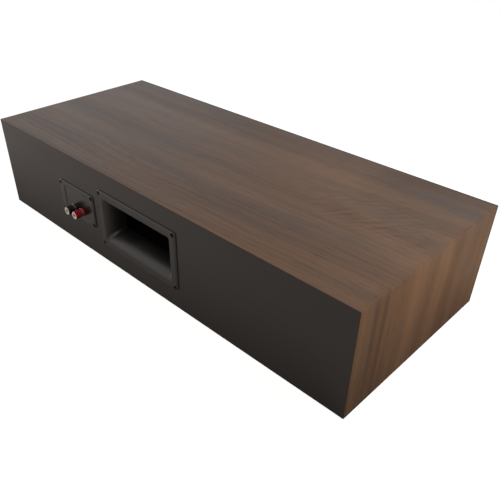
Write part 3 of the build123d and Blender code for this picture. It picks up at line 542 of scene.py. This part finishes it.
        # Painted shade: darker towards the bottom of each end and towards the +X end of the top.
        falloff = tree.ramp(tree.span(along, -reach, reach), self.painted_falloff)
        tone = self.added(
            tree,
            (tree.math("SUBTRACT", falloff, self.painted_falloff_mean), self.painted_falloff_share),
            (tree.math("ADD", top_bands, step), self.band_share),
            (self.streaks.mask(tree, along, bent), self.streak_share),
            (tree.math("MULTIPLY", lines, line_share), 1.0),
            (tree.span(fibres, *self.fibres.cut), self.fibre_share),
            (tree.math("MULTIPLY", ripple, figured), self.ripple_share),
            # Painted shade patch.
            (self.painted_shade_patch.mask(sheet), self.painted_shade_share),
        )
        return tree.math("ADD", tone, self.base_tone)

    def breadth(self, sheet: Sheet) -> bpy.types.NodeSocket:
        """Give the place across the sheet.

        Args:
            sheet: Places on the sheet.

        Returns:
            0 at the front edge and 1 at the rear edge.
        """
        return sheet.tree.span(sheet.across, -self.half_depth, self.half_depth)

    def color(self, sheet: Sheet, tone: bpy.types.NodeSocket) -> bpy.types.NodeSocket:
        """Colour the print by its tone, with warm streaks, cool streaks that are partly a painted reflection,
        ends in their own more saturated colours as painted light, painted shade on the rounded edges and
        along the foot, and a dark front trim.

        Args:
            sheet: Places on the sheet.
            tone: How light the print is.

        Returns:
            The colour.
        """
        tree, along, bent, past_fold = sheet.tree, sheet.along, sheet.bent, sheet.past_fold
        # Painted light: the ends take more saturated copies of the top's colours.
        dark = tree.mix(past_fold, self.dark, self.end_dark)
        color = tree.mix(tone, dark, tree.mix(past_fold, self.light, self.end_light))
        glow = tree.math("MULTIPLY", self.glow.mask(tree, along, bent), tone)
        # Painted light: the warm streaks count more on the ends.
        glow_share = tree.span(past_fold, 0.0, 1.0, *self.glow_shares)
        color = tree.mix(tree.math("MULTIPLY", glow, glow_share), color, self.warm)
        heart = tree.math("MULTIPLY", tree.ramp(self.breadth(sheet), self.heart), past_fold)
        color = tree.mix(tree.math("MULTIPLY", heart, self.heart_share), color, dark)
        # Cool grey streaks, partly print and partly a painted reflection that lies mostly on the top.
        streak_and_reflection_share = tree.span(past_fold, 0.0, 1.0, *self.streak_and_reflection_shares)
        cool_streaks_and_reflection = tree.math("MULTIPLY", self.cool_streaks_and_reflection.mask(tree, along, bent), streak_and_reflection_share)
        color = tree.mix(cool_streaks_and_reflection, color, self.streak_and_reflection_color)
        # Painted shade: the rounded edge between the top and an end is darkened, taking away the light it
        # catches.
        turned = self.turned(tree)
        rise = tree.span(turned, *self.fold_shade_rise)
        fall = tree.span(turned, *self.fold_shade_fall, 1.0, 0.0)
        fold_shade = tree.math("MULTIPLY", rise, fall)
        color = tree.mix(tree.math("MULTIPLY", fold_shade, self.fold_shade_share), color, dark)
        color = tree.mix(tree.math("LESS_THAN", sheet.across, self.trim_edge), color, self.front_trim_and_foot_shade)
        # Painted shade along the bottom edge of each end.
        low_edge = self.half_width + self.height - self.foot_shade_line
        foot_shade = tree.math("GREATER_THAN", tree.math("ABSOLUTE", along), low_edge)
        return tree.mix(tree.math("MULTIPLY", foot_shade, self.foot_shade_share), color, self.front_trim_and_foot_shade)

    def added(
        self, tree: Tree, *shares: tuple[bpy.types.NodeSocket, float], clamp: bool = True
    ) -> bpy.types.NodeSocket:
        """Add up values by their shares.

        Args:
            tree: The tree to add to.
            *shares: Values and how much each counts.
            clamp: Whether the result is held from 0 to 1.

        Returns:
            The sum.
        """
        total = tree.math("MULTIPLY", *shares[0])
        for value, share in shares[1:]:
            total = tree.math("ADD", total, tree.math("MULTIPLY", value, share))
        return tree.math("ADD", total, 0.0, clamp=clamp)


@dataclass(frozen=True)
class PatternGroups:
    """The shared patterns, one node group each, with the outputs Mask and Height."""

    groups: dict[Pattern, bpy.types.NodeTree] = field(default_factory=dict)
    cloud_scale: float = 24.0
    middle: tuple[float, float] = (0.3, 0.7)
    film_turns: tuple[float, float, float] = (5.0, 160.0, 160.0)
    film_shares: tuple[float, float] = (0.7, 0.3)

    def get(self, pattern: Pattern) -> bpy.types.NodeTree:
        """Give a pattern's group, built on its first use.

        Args:
            pattern: The pattern.

        Returns:
            Its node group.
        """
        if pattern not in self.groups:
            self.groups[pattern] = self.build(pattern)
        return self.groups[pattern]

    def build(self, pattern: Pattern) -> bpy.types.NodeTree:
        """Build a pattern's group.

        Args:
            pattern: The pattern.

        Returns:
            Its node group, whose Scale is in turns a metre.
        """
        tree = new_group(
            pattern.value,
            (("Scale", 1000.0),),
            (("Mask", "NodeSocketFloat"), ("Height", "NodeSocketFloat")),
        )
        mask, height = self.surface(tree, pattern)
        end = tree.tree.nodes["End"]
        tree.feed(end.inputs["Mask"], mask)
        tree.feed(end.inputs["Height"], height)
        return tree.tree

    def surface(self, tree: Tree, pattern: Pattern) -> tuple[bpy.types.NodeSocket, bpy.types.NodeSocket]:
        """Draw a pattern.

        Args:
            tree: The group's tree.
            pattern: The pattern.

        Returns:
            Its mask and its height.
        """
        place = tree.node("ShaderNodeTexCoord").outputs["Object"]
        scale = tree.tree.nodes["Start"].outputs["Scale"]
        x, y, z = tree.split(place)
        cloud = tree.noise(place, self.cloud_scale, 3.0, 0.55)
        if pattern is Pattern.PLAIN_GRAIN:
            return tree.span(cloud, *self.middle), tree.noise(place, scale, 2.0, 0.6)
        if pattern is Pattern.FILM_GRAIN:
            drawn = [tree.math("MULTIPLY", item, turns) for item, turns in zip((x, y, z), self.film_turns)]
            lines = tree.noise(tree.pack(*drawn), 1.0, 4.0, 0.6)
            fine = tree.noise(place, scale, 2.0, 0.6)
            shares = zip((lines, fine), self.film_shares)
            parts = [tree.math("MULTIPLY", item, share) for item, share in shares]
            height = tree.math("ADD", tree.math("MULTIPLY", lines, 0.5), fine)
            return tree.span(tree.math("ADD", *parts), *self.middle), height
        if pattern is Pattern.CAST:
            return tree.span(cloud, *self.middle), tree.noise(place, scale, 4.0, 0.65)
        if pattern is Pattern.TURNED:
            rings = tree.noise(tree.pack(0.0, tree.math("MULTIPLY", y, scale), 0.0), 1.0, 2.0, 0.6)
            return tree.span(rings, *self.middle), rings
        if pattern is Pattern.WOVEN:
            turns = tree.math("MULTIPLY", scale, FULL_TURN)
            threads = [tree.math("SINE", tree.math("MULTIPLY", item, turns)) for item in (x, z)]
            height = tree.span(tree.math("MULTIPLY", *threads), -1.0, 1.0)
            return tree.math("MULTIPLY", tree.math("ADD", height, cloud), 0.5), height
        if pattern is Pattern.FIBRES:
            height = tree.noise(place, scale, 6.0, 0.7, 2.0)
            return tree.span(height, *self.middle), height
        if pattern is Pattern.CHIPS:
            cells = tree.node("ShaderNodeTexVoronoi", feature="F1")
            tree.feed(cells.inputs["Vector"], place)
            tree.feed(cells.inputs["Scale"], scale)
            return tree.span(tree.noise(place, scale, 4.0, 0.7), *self.middle), cells.outputs["Distance"]
        wave = tree.math("SINE", tree.math("MULTIPLY", z, tree.math("MULTIPLY", scale, HALF_TURN)))
        height = tree.math("ABSOLUTE", wave)
        return tree.math("MULTIPLY", height, cloud), height


def add_bump(tree: Tree, height: bpy.types.NodeSocket, strength: float, depth: float) -> None:
    """Give a material's shader a rough surface.

    Args:
        tree: The material's tree.
        height: Height of the surface.
        strength: How strongly it shows.
        depth: Its depth in metres.
    """
    bump = tree.node("ShaderNodeBump")
    bump.inputs["Strength"].default_value = strength
    bump.inputs["Distance"].default_value = depth
    tree.feed(bump.inputs["Height"], height)
    tree.feed(tree.tree.nodes["Principled BSDF"].inputs["Normal"], bump.outputs["Normal"])


@dataclass(frozen=True)
class Finish:
    """One finish: two colours, a roughness range and a pattern that moves between them."""

    name: str
    low: Color
    high: Color
    roughness: tuple[float, float] = (0.45, 0.55)
    metallic: float = 0.0
    specular: float = 0.5
    pattern: Pattern = Pattern.PLAIN_GRAIN
    scale: float = 2500.0
    bump: float = 0.15
    depth: float = 0.0002

    def material(self, patterns: PatternGroups) -> bpy.types.Material:
        """Build the material.

        Args:
            patterns: The shared patterns.

        Returns:
            The new material.
        """
        made = bpy.data.materials.new(self.name)
        made.use_nodes = True
        tree = Tree(made.node_tree)
        shader = made.node_tree.nodes["Principled BSDF"]
        group = tree.node("ShaderNodeGroup", node_tree=patterns.get(self.pattern))
        group.inputs["Scale"].default_value = self.scale
        mask = group.outputs["Mask"]
        tree.feed(shader.inputs["Base Color"], tree.mix(mask, self.low, self.high))
        tree.feed(shader.inputs["Roughness"], tree.span(mask, 0.0, 1.0, *self.roughness))
        shader.inputs["Metallic"].default_value = self.metallic
        shader.inputs["Specular IOR Level"].default_value = self.specular
        add_bump(tree, group.outputs["Height"], self.bump, self.depth)
        return made


@dataclass(frozen=True)
class WalnutFinish:
    """The wood-look film of the cabinet."""

    name: str = "walnut_film"
    grain: WalnutGrain = WalnutGrain()
    specular: float = 0.085
    bump: float = 0.12
    depth: float = 0.0002

    def material(self, patterns: PatternGroups) -> bpy.types.Material:
        """Build the material.

        Args:
            patterns: The shared patterns, which this finish doesn't use.

        Returns:
            The new material.
        """
        made = bpy.data.materials.new(self.name)
        made.use_nodes = True
        tree = Tree(made.node_tree)
        shader = made.node_tree.nodes["Principled BSDF"]
        group = tree.node("ShaderNodeGroup", node_tree=self.grain.group())
        tree.feed(shader.inputs["Base Color"], group.outputs["Color"])
        tree.feed(shader.inputs["Roughness"], group.outputs["Roughness"])
        shader.inputs["Specular IOR Level"].default_value = self.specular
        add_bump(tree, group.outputs["Height"], self.bump, self.depth)
        return made


FINISHES: tuple[Union[Finish, WalnutFinish], ...] = (
    WalnutFinish(),
    Finish("black_film", (0.0160, 0.0110, 0.0085), (0.0240, 0.0165, 0.0125), (0.28, 0.35), specular=0.42,
           pattern=Pattern.FILM_GRAIN, scale=1800.0, bump=0.08),
    Finish("raw_board", (0.30, 0.20, 0.12), (0.44, 0.32, 0.20), (0.75, 0.9), specular=0.2,
           pattern=Pattern.CHIPS, scale=900.0, bump=0.3),
    Finish("fibre_pad", (0.62, 0.62, 0.58), (0.82, 0.82, 0.79), (0.9, 1.0), specular=0.1,
           pattern=Pattern.FIBRES, scale=260.0, bump=0.8, depth=0.002),
    # Painted shade: near-black plastic for the port duct, standing in for the darkness deep inside it.
    Finish("duct_black", (0.002, 0.002, 0.002), (0.005, 0.005, 0.005), (0.8, 0.9), specular=0.05,
           pattern=Pattern.CAST, scale=900.0, bump=0.2),
    Finish("dark_plastic", (0.024, 0.0195, 0.0170), (0.032, 0.0260, 0.0225), (0.36, 0.44), specular=0.50,
           scale=1500.0, bump=0.14),
    Finish("foam", (0.012, 0.012, 0.012), (0.022, 0.022, 0.022), (0.85, 0.95), specular=0.2,
           pattern=Pattern.CAST, scale=1600.0, bump=0.5),
    Finish("black_screw", (0.003, 0.003, 0.003), (0.007, 0.007, 0.007), (0.5, 0.6), specular=0.08,
           pattern=Pattern.CAST, scale=3000.0, bump=0.1),
    Finish("plain_steel", (0.48, 0.48, 0.49), (0.60, 0.60, 0.61), (0.28, 0.4), metallic=1.0,
           pattern=Pattern.TURNED, scale=2200.0, bump=0.1),
    Finish("plate_plastic", (0.019, 0.0160, 0.0140), (0.025, 0.0210, 0.0185), (0.19, 0.25), specular=0.50,
           scale=2600.0, bump=0.04),
    Finish("black_plastic", (0.008, 0.008, 0.008), (0.012, 0.012, 0.012), (0.2, 0.28), specular=0.5,
           scale=2600.0, bump=0.03),
    Finish("red_plastic", (0.42, 0.006, 0.014), (0.54, 0.012, 0.022), (0.16, 0.22), specular=0.5,
           scale=2600.0, bump=0.03),
    Finish("post_metal", (0.80, 0.77, 0.70), (0.90, 0.87, 0.80), (0.24, 0.34), metallic=1.0,
           pattern=Pattern.TURNED, scale=2600.0, bump=0.06),
    Finish("stud_metal", (0.34, 0.31, 0.28), (0.44, 0.41, 0.37), (0.35, 0.45), metallic=1.0,
           pattern=Pattern.TURNED, scale=2600.0, bump=0.1),
    Finish("board_green", (0.02, 0.10, 0.04), (0.04, 0.15, 0.06), (0.35, 0.45), scale=1200.0, bump=0.05),
    Finish("pale_nylon", (0.68, 0.67, 0.62), (0.78, 0.77, 0.72), (0.5, 0.6), scale=2000.0, bump=0.08),
    Finish("copper", (0.55, 0.22, 0.10), (0.76, 0.36, 0.18), (0.25, 0.35), metallic=0.9,
           pattern=Pattern.WOUND, scale=900.0, bump=0.6, depth=0.0004),
    Finish("yellow_film", (0.52, 0.35, 0.04), (0.64, 0.46, 0.08), (0.3, 0.4), scale=900.0, bump=0.06),
    Finish("cement", (0.62, 0.60, 0.56), (0.76, 0.74, 0.70), (0.8, 0.9), pattern=Pattern.CAST,
           scale=1400.0, bump=0.4),
    Finish("lead_sheath", (0.022, 0.022, 0.022), (0.034, 0.034, 0.034), (0.5, 0.6), scale=1800.0, bump=0.08),
    Finish("dome_metal", (0.52, 0.52, 0.54), (0.64, 0.64, 0.66), (0.3, 0.4), metallic=1.0,
           pattern=Pattern.CAST, scale=2600.0, bump=0.05),
    Finish("ferrite", (0.045, 0.045, 0.05), (0.075, 0.075, 0.08), (0.6, 0.75), pattern=Pattern.CAST,
           scale=1500.0, bump=0.3),
    Finish("black_casting", (0.016, 0.016, 0.017), (0.026, 0.026, 0.027), (0.42, 0.52), specular=0.45,
           pattern=Pattern.CAST, scale=1800.0, bump=0.22),
    Finish("surround_rubber", (0.012, 0.012, 0.012), (0.018, 0.018, 0.018), (0.5, 0.6), specular=0.4,
           scale=2200.0, bump=0.08),
    Finish("spider_cloth", (0.36, 0.24, 0.09), (0.52, 0.38, 0.18), (0.8, 0.9), specular=0.2,
           pattern=Pattern.WOVEN, scale=900.0, bump=0.6, depth=0.0003),
    Finish("cone_film", (0.040, 0.040, 0.042), (0.058, 0.058, 0.060), (0.32, 0.42), specular=0.4,
           pattern=Pattern.CAST, scale=2400.0, bump=0.08),
    Finish("tab_fibre", (0.08, 0.05, 0.035), (0.12, 0.085, 0.06), (0.7, 0.8), pattern=Pattern.FIBRES,
           scale=900.0, bump=0.3),
)

NODE_FINISHES: dict[str, str] = {
    "negative_post_stud": "stud_metal",
    "positive_post_stud": "stud_metal",
}


def new_object(name: str, vertices: np.ndarray, faces: Sequence[Sequence[int]]) -> bpy.types.Object:
    """Make a smooth mesh object with its faces turned outwards.

    Args:
        name: Name of the object and of its mesh.
        vertices: Its points.
        faces: Its faces, as indices of points.

    Returns:
        The new object, in the scene.
    """
    mesh = bpy.data.meshes.new(name)
    mesh.from_pydata([tuple(map(float, v)) for v in vertices], [], [tuple(map(int, f)) for f in faces])
    shape = bmesh.new()
    shape.from_mesh(mesh)
    bmesh.ops.recalc_face_normals(shape, faces=shape.faces)
    shape.to_mesh(mesh)
    shape.free()
    mesh.polygons.foreach_set("use_smooth", [True] * len(mesh.polygons))
    made = bpy.data.objects.new(name, mesh)
    bpy.context.scene.collection.objects.link(made)
    return made


@dataclass(frozen=True)
class Lathe:
    """A closed section turned round a driver's axis."""

    centre: Vector
    segments: int = 120

    def turn(self, name: str, section: Sequence[tuple[float, float]]) -> bpy.types.Object:
        """Turn a section.

        Args:
            name: Name of the new object.
            section: Radius and Y of each point of the closed section.

        Returns:
            The new object.
        """
        angles = np.linspace(0.0, 2.0 * math.pi, self.segments, endpoint=False)
        radius = np.array([p[0] for p in section])
        depth = np.array([p[1] for p in section])
        xs = self.centre.x + np.outer(np.cos(angles), radius)
        zs = self.centre.z + np.outer(np.sin(angles), radius)
        ys = np.broadcast_to(depth, xs.shape)
        vertices = np.stack((xs, ys, zs), axis=-1).reshape(-1, 3)
        count = len(section)
        faces = [
            (i * count + j, i * count + (j + 1) % count, k * count + (j + 1) % count, k * count + j)
            for i in range(self.segments)
            for k in ((i + 1) % self.segments,)
            for j in range(count)
        ]
        return new_object(name, vertices, faces)


@dataclass
class Suspension:
    """The soft rings that hold one woofer's cone: its surround and its spider."""

    number: int
    centre: Vector
    surround_box: tuple[Vector, Vector]
    spider_box: tuple[Vector, Vector]
    outer_lip: float = 0.0018
    roll_radius: float = 0.004
    skin: float = 0.0008
    inner_lip: float = 0.0025
    lip: float = 0.001
    roll_points: int = 19
    folds: int = 4
    fold_points: int = 16
    fold_height: float = 0.0010
    spider_skin: float = 0.0006
    spider_bore: float = 0.01285
    spider_neck: float = 0.0018
    spider_rim: float = 0.0035

    def build(self, materials: dict[str, bpy.types.Material]) -> list[bpy.types.Object]:
        """Make both rings in place.

        Args:
            materials: The finished materials by slot.

        Returns:
            The surround and the spider.
        """
        lathe = Lathe(self.centre)
        surround = lathe.turn(f"woofer_{self.number}_surround", self.surround_section())
        spider = lathe.turn(f"woofer_{self.number}_spider", self.spider_section())
        self.tie(surround)
        self.tie(spider)
        for piece, slot, node in (
            (surround, "surround_rubber", "woofer_surrounds"),
            (spider, "spider_cloth", "woofer_spiders"),
        ):
            piece.data.materials.append(materials[slot])
            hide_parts(node)
        return [surround, spider]

    def surround_section(self) -> list[tuple[float, float]]:
        """Draw the half roll between its two lips.

        Returns:
            Radius and Y of the section's points.
        """
        rim = self.surround_box[1].z - self.centre.z
        back = self.surround_box[1].y
        front = back - self.lip
        middle = rim - self.outer_lip - self.roll_radius
        under = self.roll_radius - self.skin
        over = self.roll_radius
        angles = np.linspace(0.0, math.pi, self.roll_points)
        over_roll = [(middle + over * math.cos(a), front - over * math.sin(a)) for a in angles]
        under_roll = [(middle - under * math.cos(a), front - under * math.sin(a)) for a in angles]
        cone_edge = middle - self.roll_radius
        return [
            (rim, back),
            (rim, front),
            *over_roll,
            (cone_edge - self.inner_lip, front),
            (cone_edge - self.inner_lip, back),
            (middle - under, back),
            *under_roll,
            (middle + under, back),
        ]

    def spider_section(self) -> list[tuple[float, float]]:
        """Draw the spider's concentric folds.

        Returns:
            Radius and Y of the section's points.
        """
        rim = self.spider_box[1].z - self.centre.z
        middle = (self.spider_box[0].y + self.spider_box[1].y) / 2.0
        start = self.spider_bore + self.spider_neck
        end = rim - self.spider_rim
        radii = np.linspace(start, end, self.fold_points * self.folds + 1)
        turns = (radii - start) / (end - start) * self.folds
        ease = np.minimum(1.0, np.minimum(turns, self.folds - turns) * 2.0)
        waves = self.fold_height * np.sin(2.0 * math.pi * turns) * ease
        line = [(self.spider_bore, 0.0), *zip(radii, waves), (rim, 0.0)]
        half = self.spider_skin / 2.0
        front = [(r, middle + w - half) for r, w in line]
        behind = [(r, middle + w + half) for r, w in reversed(line)]
        return [*front, *behind]

    def tie(self, piece: bpy.types.Object) -> None:
        """Bake a ring's placement into its mesh.

        Args:
            piece: The ring.
        """
        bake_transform(piece)


@dataclass
class DampingPads:
    """The loose fibre pads on the inside of the rear panel, one in each end chamber."""

    box: tuple[Vector, Vector]
    inner_x: float
    crown: float = 0.006
    waist: float = 0.045
    columns: int = 28
    rows: int = 26
    edge_power: int = 8
    tuft: float = 0.25
    tuft_base: float = 0.85
    tuft_waves: tuple[tuple[float, float], ...] = ((7.0, 2.0), (-1.5, 6.0))
    weld: float = 0.00002

    def build(self, materials: dict[str, bpy.types.Material]) -> list[bpy.types.Object]:
        """Make both pads and tie them to the cabinet.

        Args:
            materials: The finished materials by slot.

        Returns:
            The two pads.
        """
        pads = []
        low, high = self.box
        for side, sign in (("left", -1.0), ("right", 1.0)):
            near = sign * self.inner_x
            far = low.x if sign < 0.0 else high.x
            pad = self.pad(f"{side}_damping_pad", min(near, far), max(near, far), low, high)
            pad.data.materials.append(materials["fibre_pad"])
            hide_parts("damping_pads")
            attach(pad, "cabinet")
            pads.append(pad)
        return pads

    def pad(self, name: str, x0: float, x1: float, low: Vector, high: Vector) -> bpy.types.Object:
        """Make one crowned pad that lies flat on the panel behind it.

        Args:
            name: Name of the pad.
            x0: Its lowest X.
            x1: Its highest X.
            low: Lowest corner of both pads.
            high: Highest corner of both pads.

        Returns:
            The new object.
        """
        columns, rows, waist = self.columns, self.rows, self.waist
        us = np.linspace(-1.0, 1.0, columns)
        vs = np.linspace(-1.0, 1.0, rows)
        grid_u, grid_v = np.meshgrid(us, vs, indexing="ij")
        width = (x1 - x0) / 2.0
        tall = (high.z - low.z) / 2.0
        xs = (x0 + x1) / 2.0 + width * grid_u * (1.0 - waist * (1.0 - grid_v**2))
        zs = (low.z + high.z) / 2.0 + tall * grid_v * (1.0 - waist * (1.0 - grid_u**2))
        outward = np.maximum(np.abs(grid_u), np.abs(grid_v))
        edge = np.sqrt(np.clip(1.0 - outward**self.edge_power, 0.0, 1.0))
        swell = (1.0 - grid_u**2) * (1.0 - grid_v**2)
        first, second = (np.sin(u * grid_u + v * grid_v) for u, v in self.tuft_waves)
        tufts = self.tuft * first * second
        thick = high.y - low.y
        crown = self.crown * np.clip(swell * (self.tuft_base + tufts), 0.0, 1.0)
        front = high.y - (thick - self.crown) * edge - crown
        face = np.stack((xs, front, zs), axis=-1).reshape(-1, 3)
        behind = np.stack((xs, np.full_like(xs, high.y), zs), axis=-1).reshape(-1, 3)
        count = columns * rows
        quads = [
            (i * rows + j, (i + 1) * rows + j, (i + 1) * rows + j + 1, i * rows + j + 1)
            for i in range(columns - 1)
            for j in range(rows - 1)
        ]
        faces = [*quads, *[tuple(count + index for index in reversed(quad)) for quad in quads]]
        made = new_object(name, np.concatenate((face, behind)), faces)
        shape = bmesh.new()
        shape.from_mesh(made.data)
        bmesh.ops.remove_doubles(shape, verts=shape.verts, dist=self.weld)
        bmesh.ops.recalc_face_normals(shape, faces=shape.faces)
        shape.to_mesh(made.data)
        shape.free()
        return made


@dataclass
class Speaker:
    """The dressed loudspeaker."""

    frame: dict
    woofers: int = 4
    pad_gap: float = 0.003
    materials: dict[str, bpy.types.Material] = field(default_factory=dict)

    def paint(self) -> list[tuple[str, str]]:
        """Give every CAD node its own finish, or else that of its slot.

        Returns:
            Each node's name and its finish.
        """
        patterns = PatternGroups()
        for finish in FINISHES:
            self.materials[finish.name] = finish.material(patterns)
        painted = []
        for row in self.frame["record"]["subparts"]:
            node = self.frame["nodes"][row["node"]]
            name = NODE_FINISHES.get(row["node"], row["material_slot"])
            node.data.materials.clear()
            node.data.materials.append(self.materials[name])
            painted.append((row["node"], name))
        return painted

    def dress(self) -> list[bpy.types.Object]:
        """Add the soft pieces.

        Returns:
            The new pieces.
        """
        made = []
        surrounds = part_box("woofer_surrounds")
        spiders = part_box("woofer_spiders")
        for number in range(1, self.woofers + 1):
            low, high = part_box(f"woofer_{number}_cone")
            made += Suspension(number, (low + high) / 2.0, surrounds, spiders).build(self.materials)
        inner_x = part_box("right_brace")[1].x + self.pad_gap
        made += DampingPads(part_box("damping_pads"), inner_x).build(self.materials)
        return made


@dataclass(frozen=True)
class Viewpoint:
    """The photograph's camera."""

    place: Vector = Vector((-0.5339, 0.5065, 0.4701))
    right: Vector = Vector((-0.7062, -0.7080, -0.0001))
    up: Vector = Vector((0.4073, -0.4064, 0.8179))
    lens: float = 41.78
    sensor: float = 36.0
    nearest: float = 0.02
    shift: tuple[float, float] = (0.0446, 0.0388)

    def build(self) -> None:
        """Make the camera and use it."""
        camera = bpy.data.cameras.new("camera")
        camera.lens = self.lens
        camera.sensor_width = self.sensor
        camera.shift_x, camera.shift_y = self.shift
        camera.clip_start = self.nearest
        made = bpy.data.objects.new("camera", camera)
        back = self.right.cross(self.up)
        turn = Matrix((self.right, self.up, back)).transposed().to_4x4()
        made.matrix_world = Matrix.Translation(self.place) @ turn
        bpy.context.scene.collection.objects.link(made)
        bpy.context.scene.camera = made


@dataclass(frozen=True)
class Lamp:
    """A soft rectangular lamp."""

    name: str
    place: Vector
    target: Vector
    size: tuple[float, float]
    power: float
    color: Color = WHITE

    def build(self) -> None:
        """Make the lamp."""
        light = bpy.data.lights.new(self.name, "AREA")
        light.color = self.color
        light.shape = "RECTANGLE"
        light.size, light.size_y = self.size
        light.energy = self.power
        made = bpy.data.objects.new(self.name, light)
        made.location = self.place
        made.rotation_euler = (self.target - self.place).to_track_quat("-Z", "Y").to_euler()
        bpy.context.scene.collection.objects.link(made)


@dataclass(frozen=True)
class Studio:
    """White surroundings, a pale floor and soft lamps."""

    world_level: float = 0.15
    floor_color: Color = (0.18, 0.16, 0.14)
    floor_roughness: float = 0.9
    floor_fill: float = 0.96
    floor_gloss_fill: float = 0.58
    floor_glow: Color = (1.0, 0.89, 0.82)
    footprint: tuple[float, float] = (0.335, 0.14)
    shade_reach: tuple[float, float] = (0.25, 0.12)
    shade_levels: tuple[float, float] = (0.18, 0.36)
    floor_size: float = 6.0
    lamps: tuple[Lamp, ...] = (
        Lamp("overhead_lamp", Vector((0.0, 0.2, 2.2)), Vector((0.0, 0.0, 0.1)), (2.0, 1.8), 12.5),
        Lamp("end_lamp", Vector((-0.74, -0.15, 0.43)), Vector((-0.335, 0.0, 0.12)), (0.25, 0.25), 2.8),
        Lamp("far_lamp", Vector((2.2, -1.1, 0.9)), Vector((0.3, -0.05, 0.14)), (1.8, 1.0), 6.2, COOL_LIGHT),
        Lamp("side_lamp", Vector((1.7, 0.25, 0.24)), Vector((0.335, 0.0, 0.07)), (0.9, 0.34), 5.0),
        Lamp("front_lamp", Vector((0.4, -1.8, 0.20)), Vector((0.0, -0.14, 0.07)), (1.6, 0.36), 7.0),
    )

    def build(self) -> None:
        """Make the floor, the world and the lamps."""
        self.floor()
        self.world()
        for lamp in self.lamps:
            lamp.build()

    def seen(self, tree: Tree, camera: Feed, gloss: Feed) -> bpy.types.NodeSocket:
        """Give one level to what the camera sees and one to what shines through or mirrors.

        Args:
            tree: The tree to add to.
            camera: Level for camera rays.
            gloss: Level for glossy and transmission rays.

        Returns:
            The ray's level, which is 0 for the rest.
        """
        path = tree.node("ShaderNodeLightPath")
        mirrored = tree.math("MAXIMUM", path.outputs["Is Glossy Ray"], path.outputs["Is Transmission Ray"])
        return tree.math(
            "MAXIMUM",
            tree.math("MULTIPLY", path.outputs["Is Camera Ray"], camera),
            tree.math("MULTIPLY", mirrored, gloss),
        )

    def floor(self) -> None:
        """Make the pale floor, filled up to white in the open, with the object's shadow."""
        half = self.floor_size
        corners = np.array(((-half, -half, 0.0), (half, -half, 0.0), (half, half, 0.0), (-half, half, 0.0)))
        made = new_object("floor", corners, ((0, 1, 2, 3),))
        material = bpy.data.materials.new("floor")
        material.use_nodes = True
        tree = Tree(material.node_tree)
        shader = material.node_tree.nodes["Principled BSDF"]
        shader.inputs["Base Color"].default_value = (*self.floor_color, 1.0)
        shader.inputs["Roughness"].default_value = self.floor_roughness
        shader.inputs["Specular IOR Level"].default_value = 0.0
        direct = tree.node("ShaderNodeLightPath").outputs["Is Camera Ray"]
        tree.feed(shader.inputs["Emission Color"], tree.mix(direct, self.floor_glow, WHITE))
        places = tree.split(tree.node("ShaderNodeTexCoord").outputs["Object"])
        # Painted shade in reflections: the floor's glow for glossy rays is dimmed near the object's
        # footprint.
        away = [
            tree.math("DIVIDE", tree.math("SUBTRACT", tree.math("ABSOLUTE", place), edge), reach)
            for place, edge, reach in zip(places, self.footprint, self.shade_reach)
        ]
        level = tree.span(tree.math("GREATER_THAN", *away), 0.0, 1.0, *reversed(self.shade_levels))
        open_share = tree.span(tree.math("MAXIMUM", *away), 0.0, 1.0)
        shade = tree.math("ADD", level, tree.math("MULTIPLY", open_share, tree.math("SUBTRACT", 1.0, level)))
        glow = self.seen(tree, self.floor_fill, tree.math("MULTIPLY", shade, self.floor_gloss_fill))
        tree.feed(shader.inputs["Emission Strength"], glow)
        made.data.materials.append(material)

    def world(self) -> None:
        """Make the white surroundings."""
        world = bpy.data.worlds.new("studio")
        world.use_nodes = True
        bpy.context.scene.world = world
        tree = Tree(world.node_tree)
        background = world.node_tree.nodes["Background"]
        background.inputs["Color"].default_value = (*WHITE, 1.0)
        level = tree.math("MAXIMUM", self.seen(tree, 1.0, 1.0), self.world_level)
        tree.feed(background.inputs["Strength"], level)


def main() -> None:
    """Build the scene."""
    logging.basicConfig(level=logging.INFO)
    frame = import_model()
    bpy.context.scene.view_settings.view_transform = "Standard"
    speaker = Speaker(frame)
    for name, finish in speaker.paint():
        LOG.info("%s is finished in %s", name, finish)
    for piece in speaker.dress():
        LOG.info("%s is made", piece.name)
    Viewpoint().build()
    Studio().build()


if __name__ == "__main__":
    main()
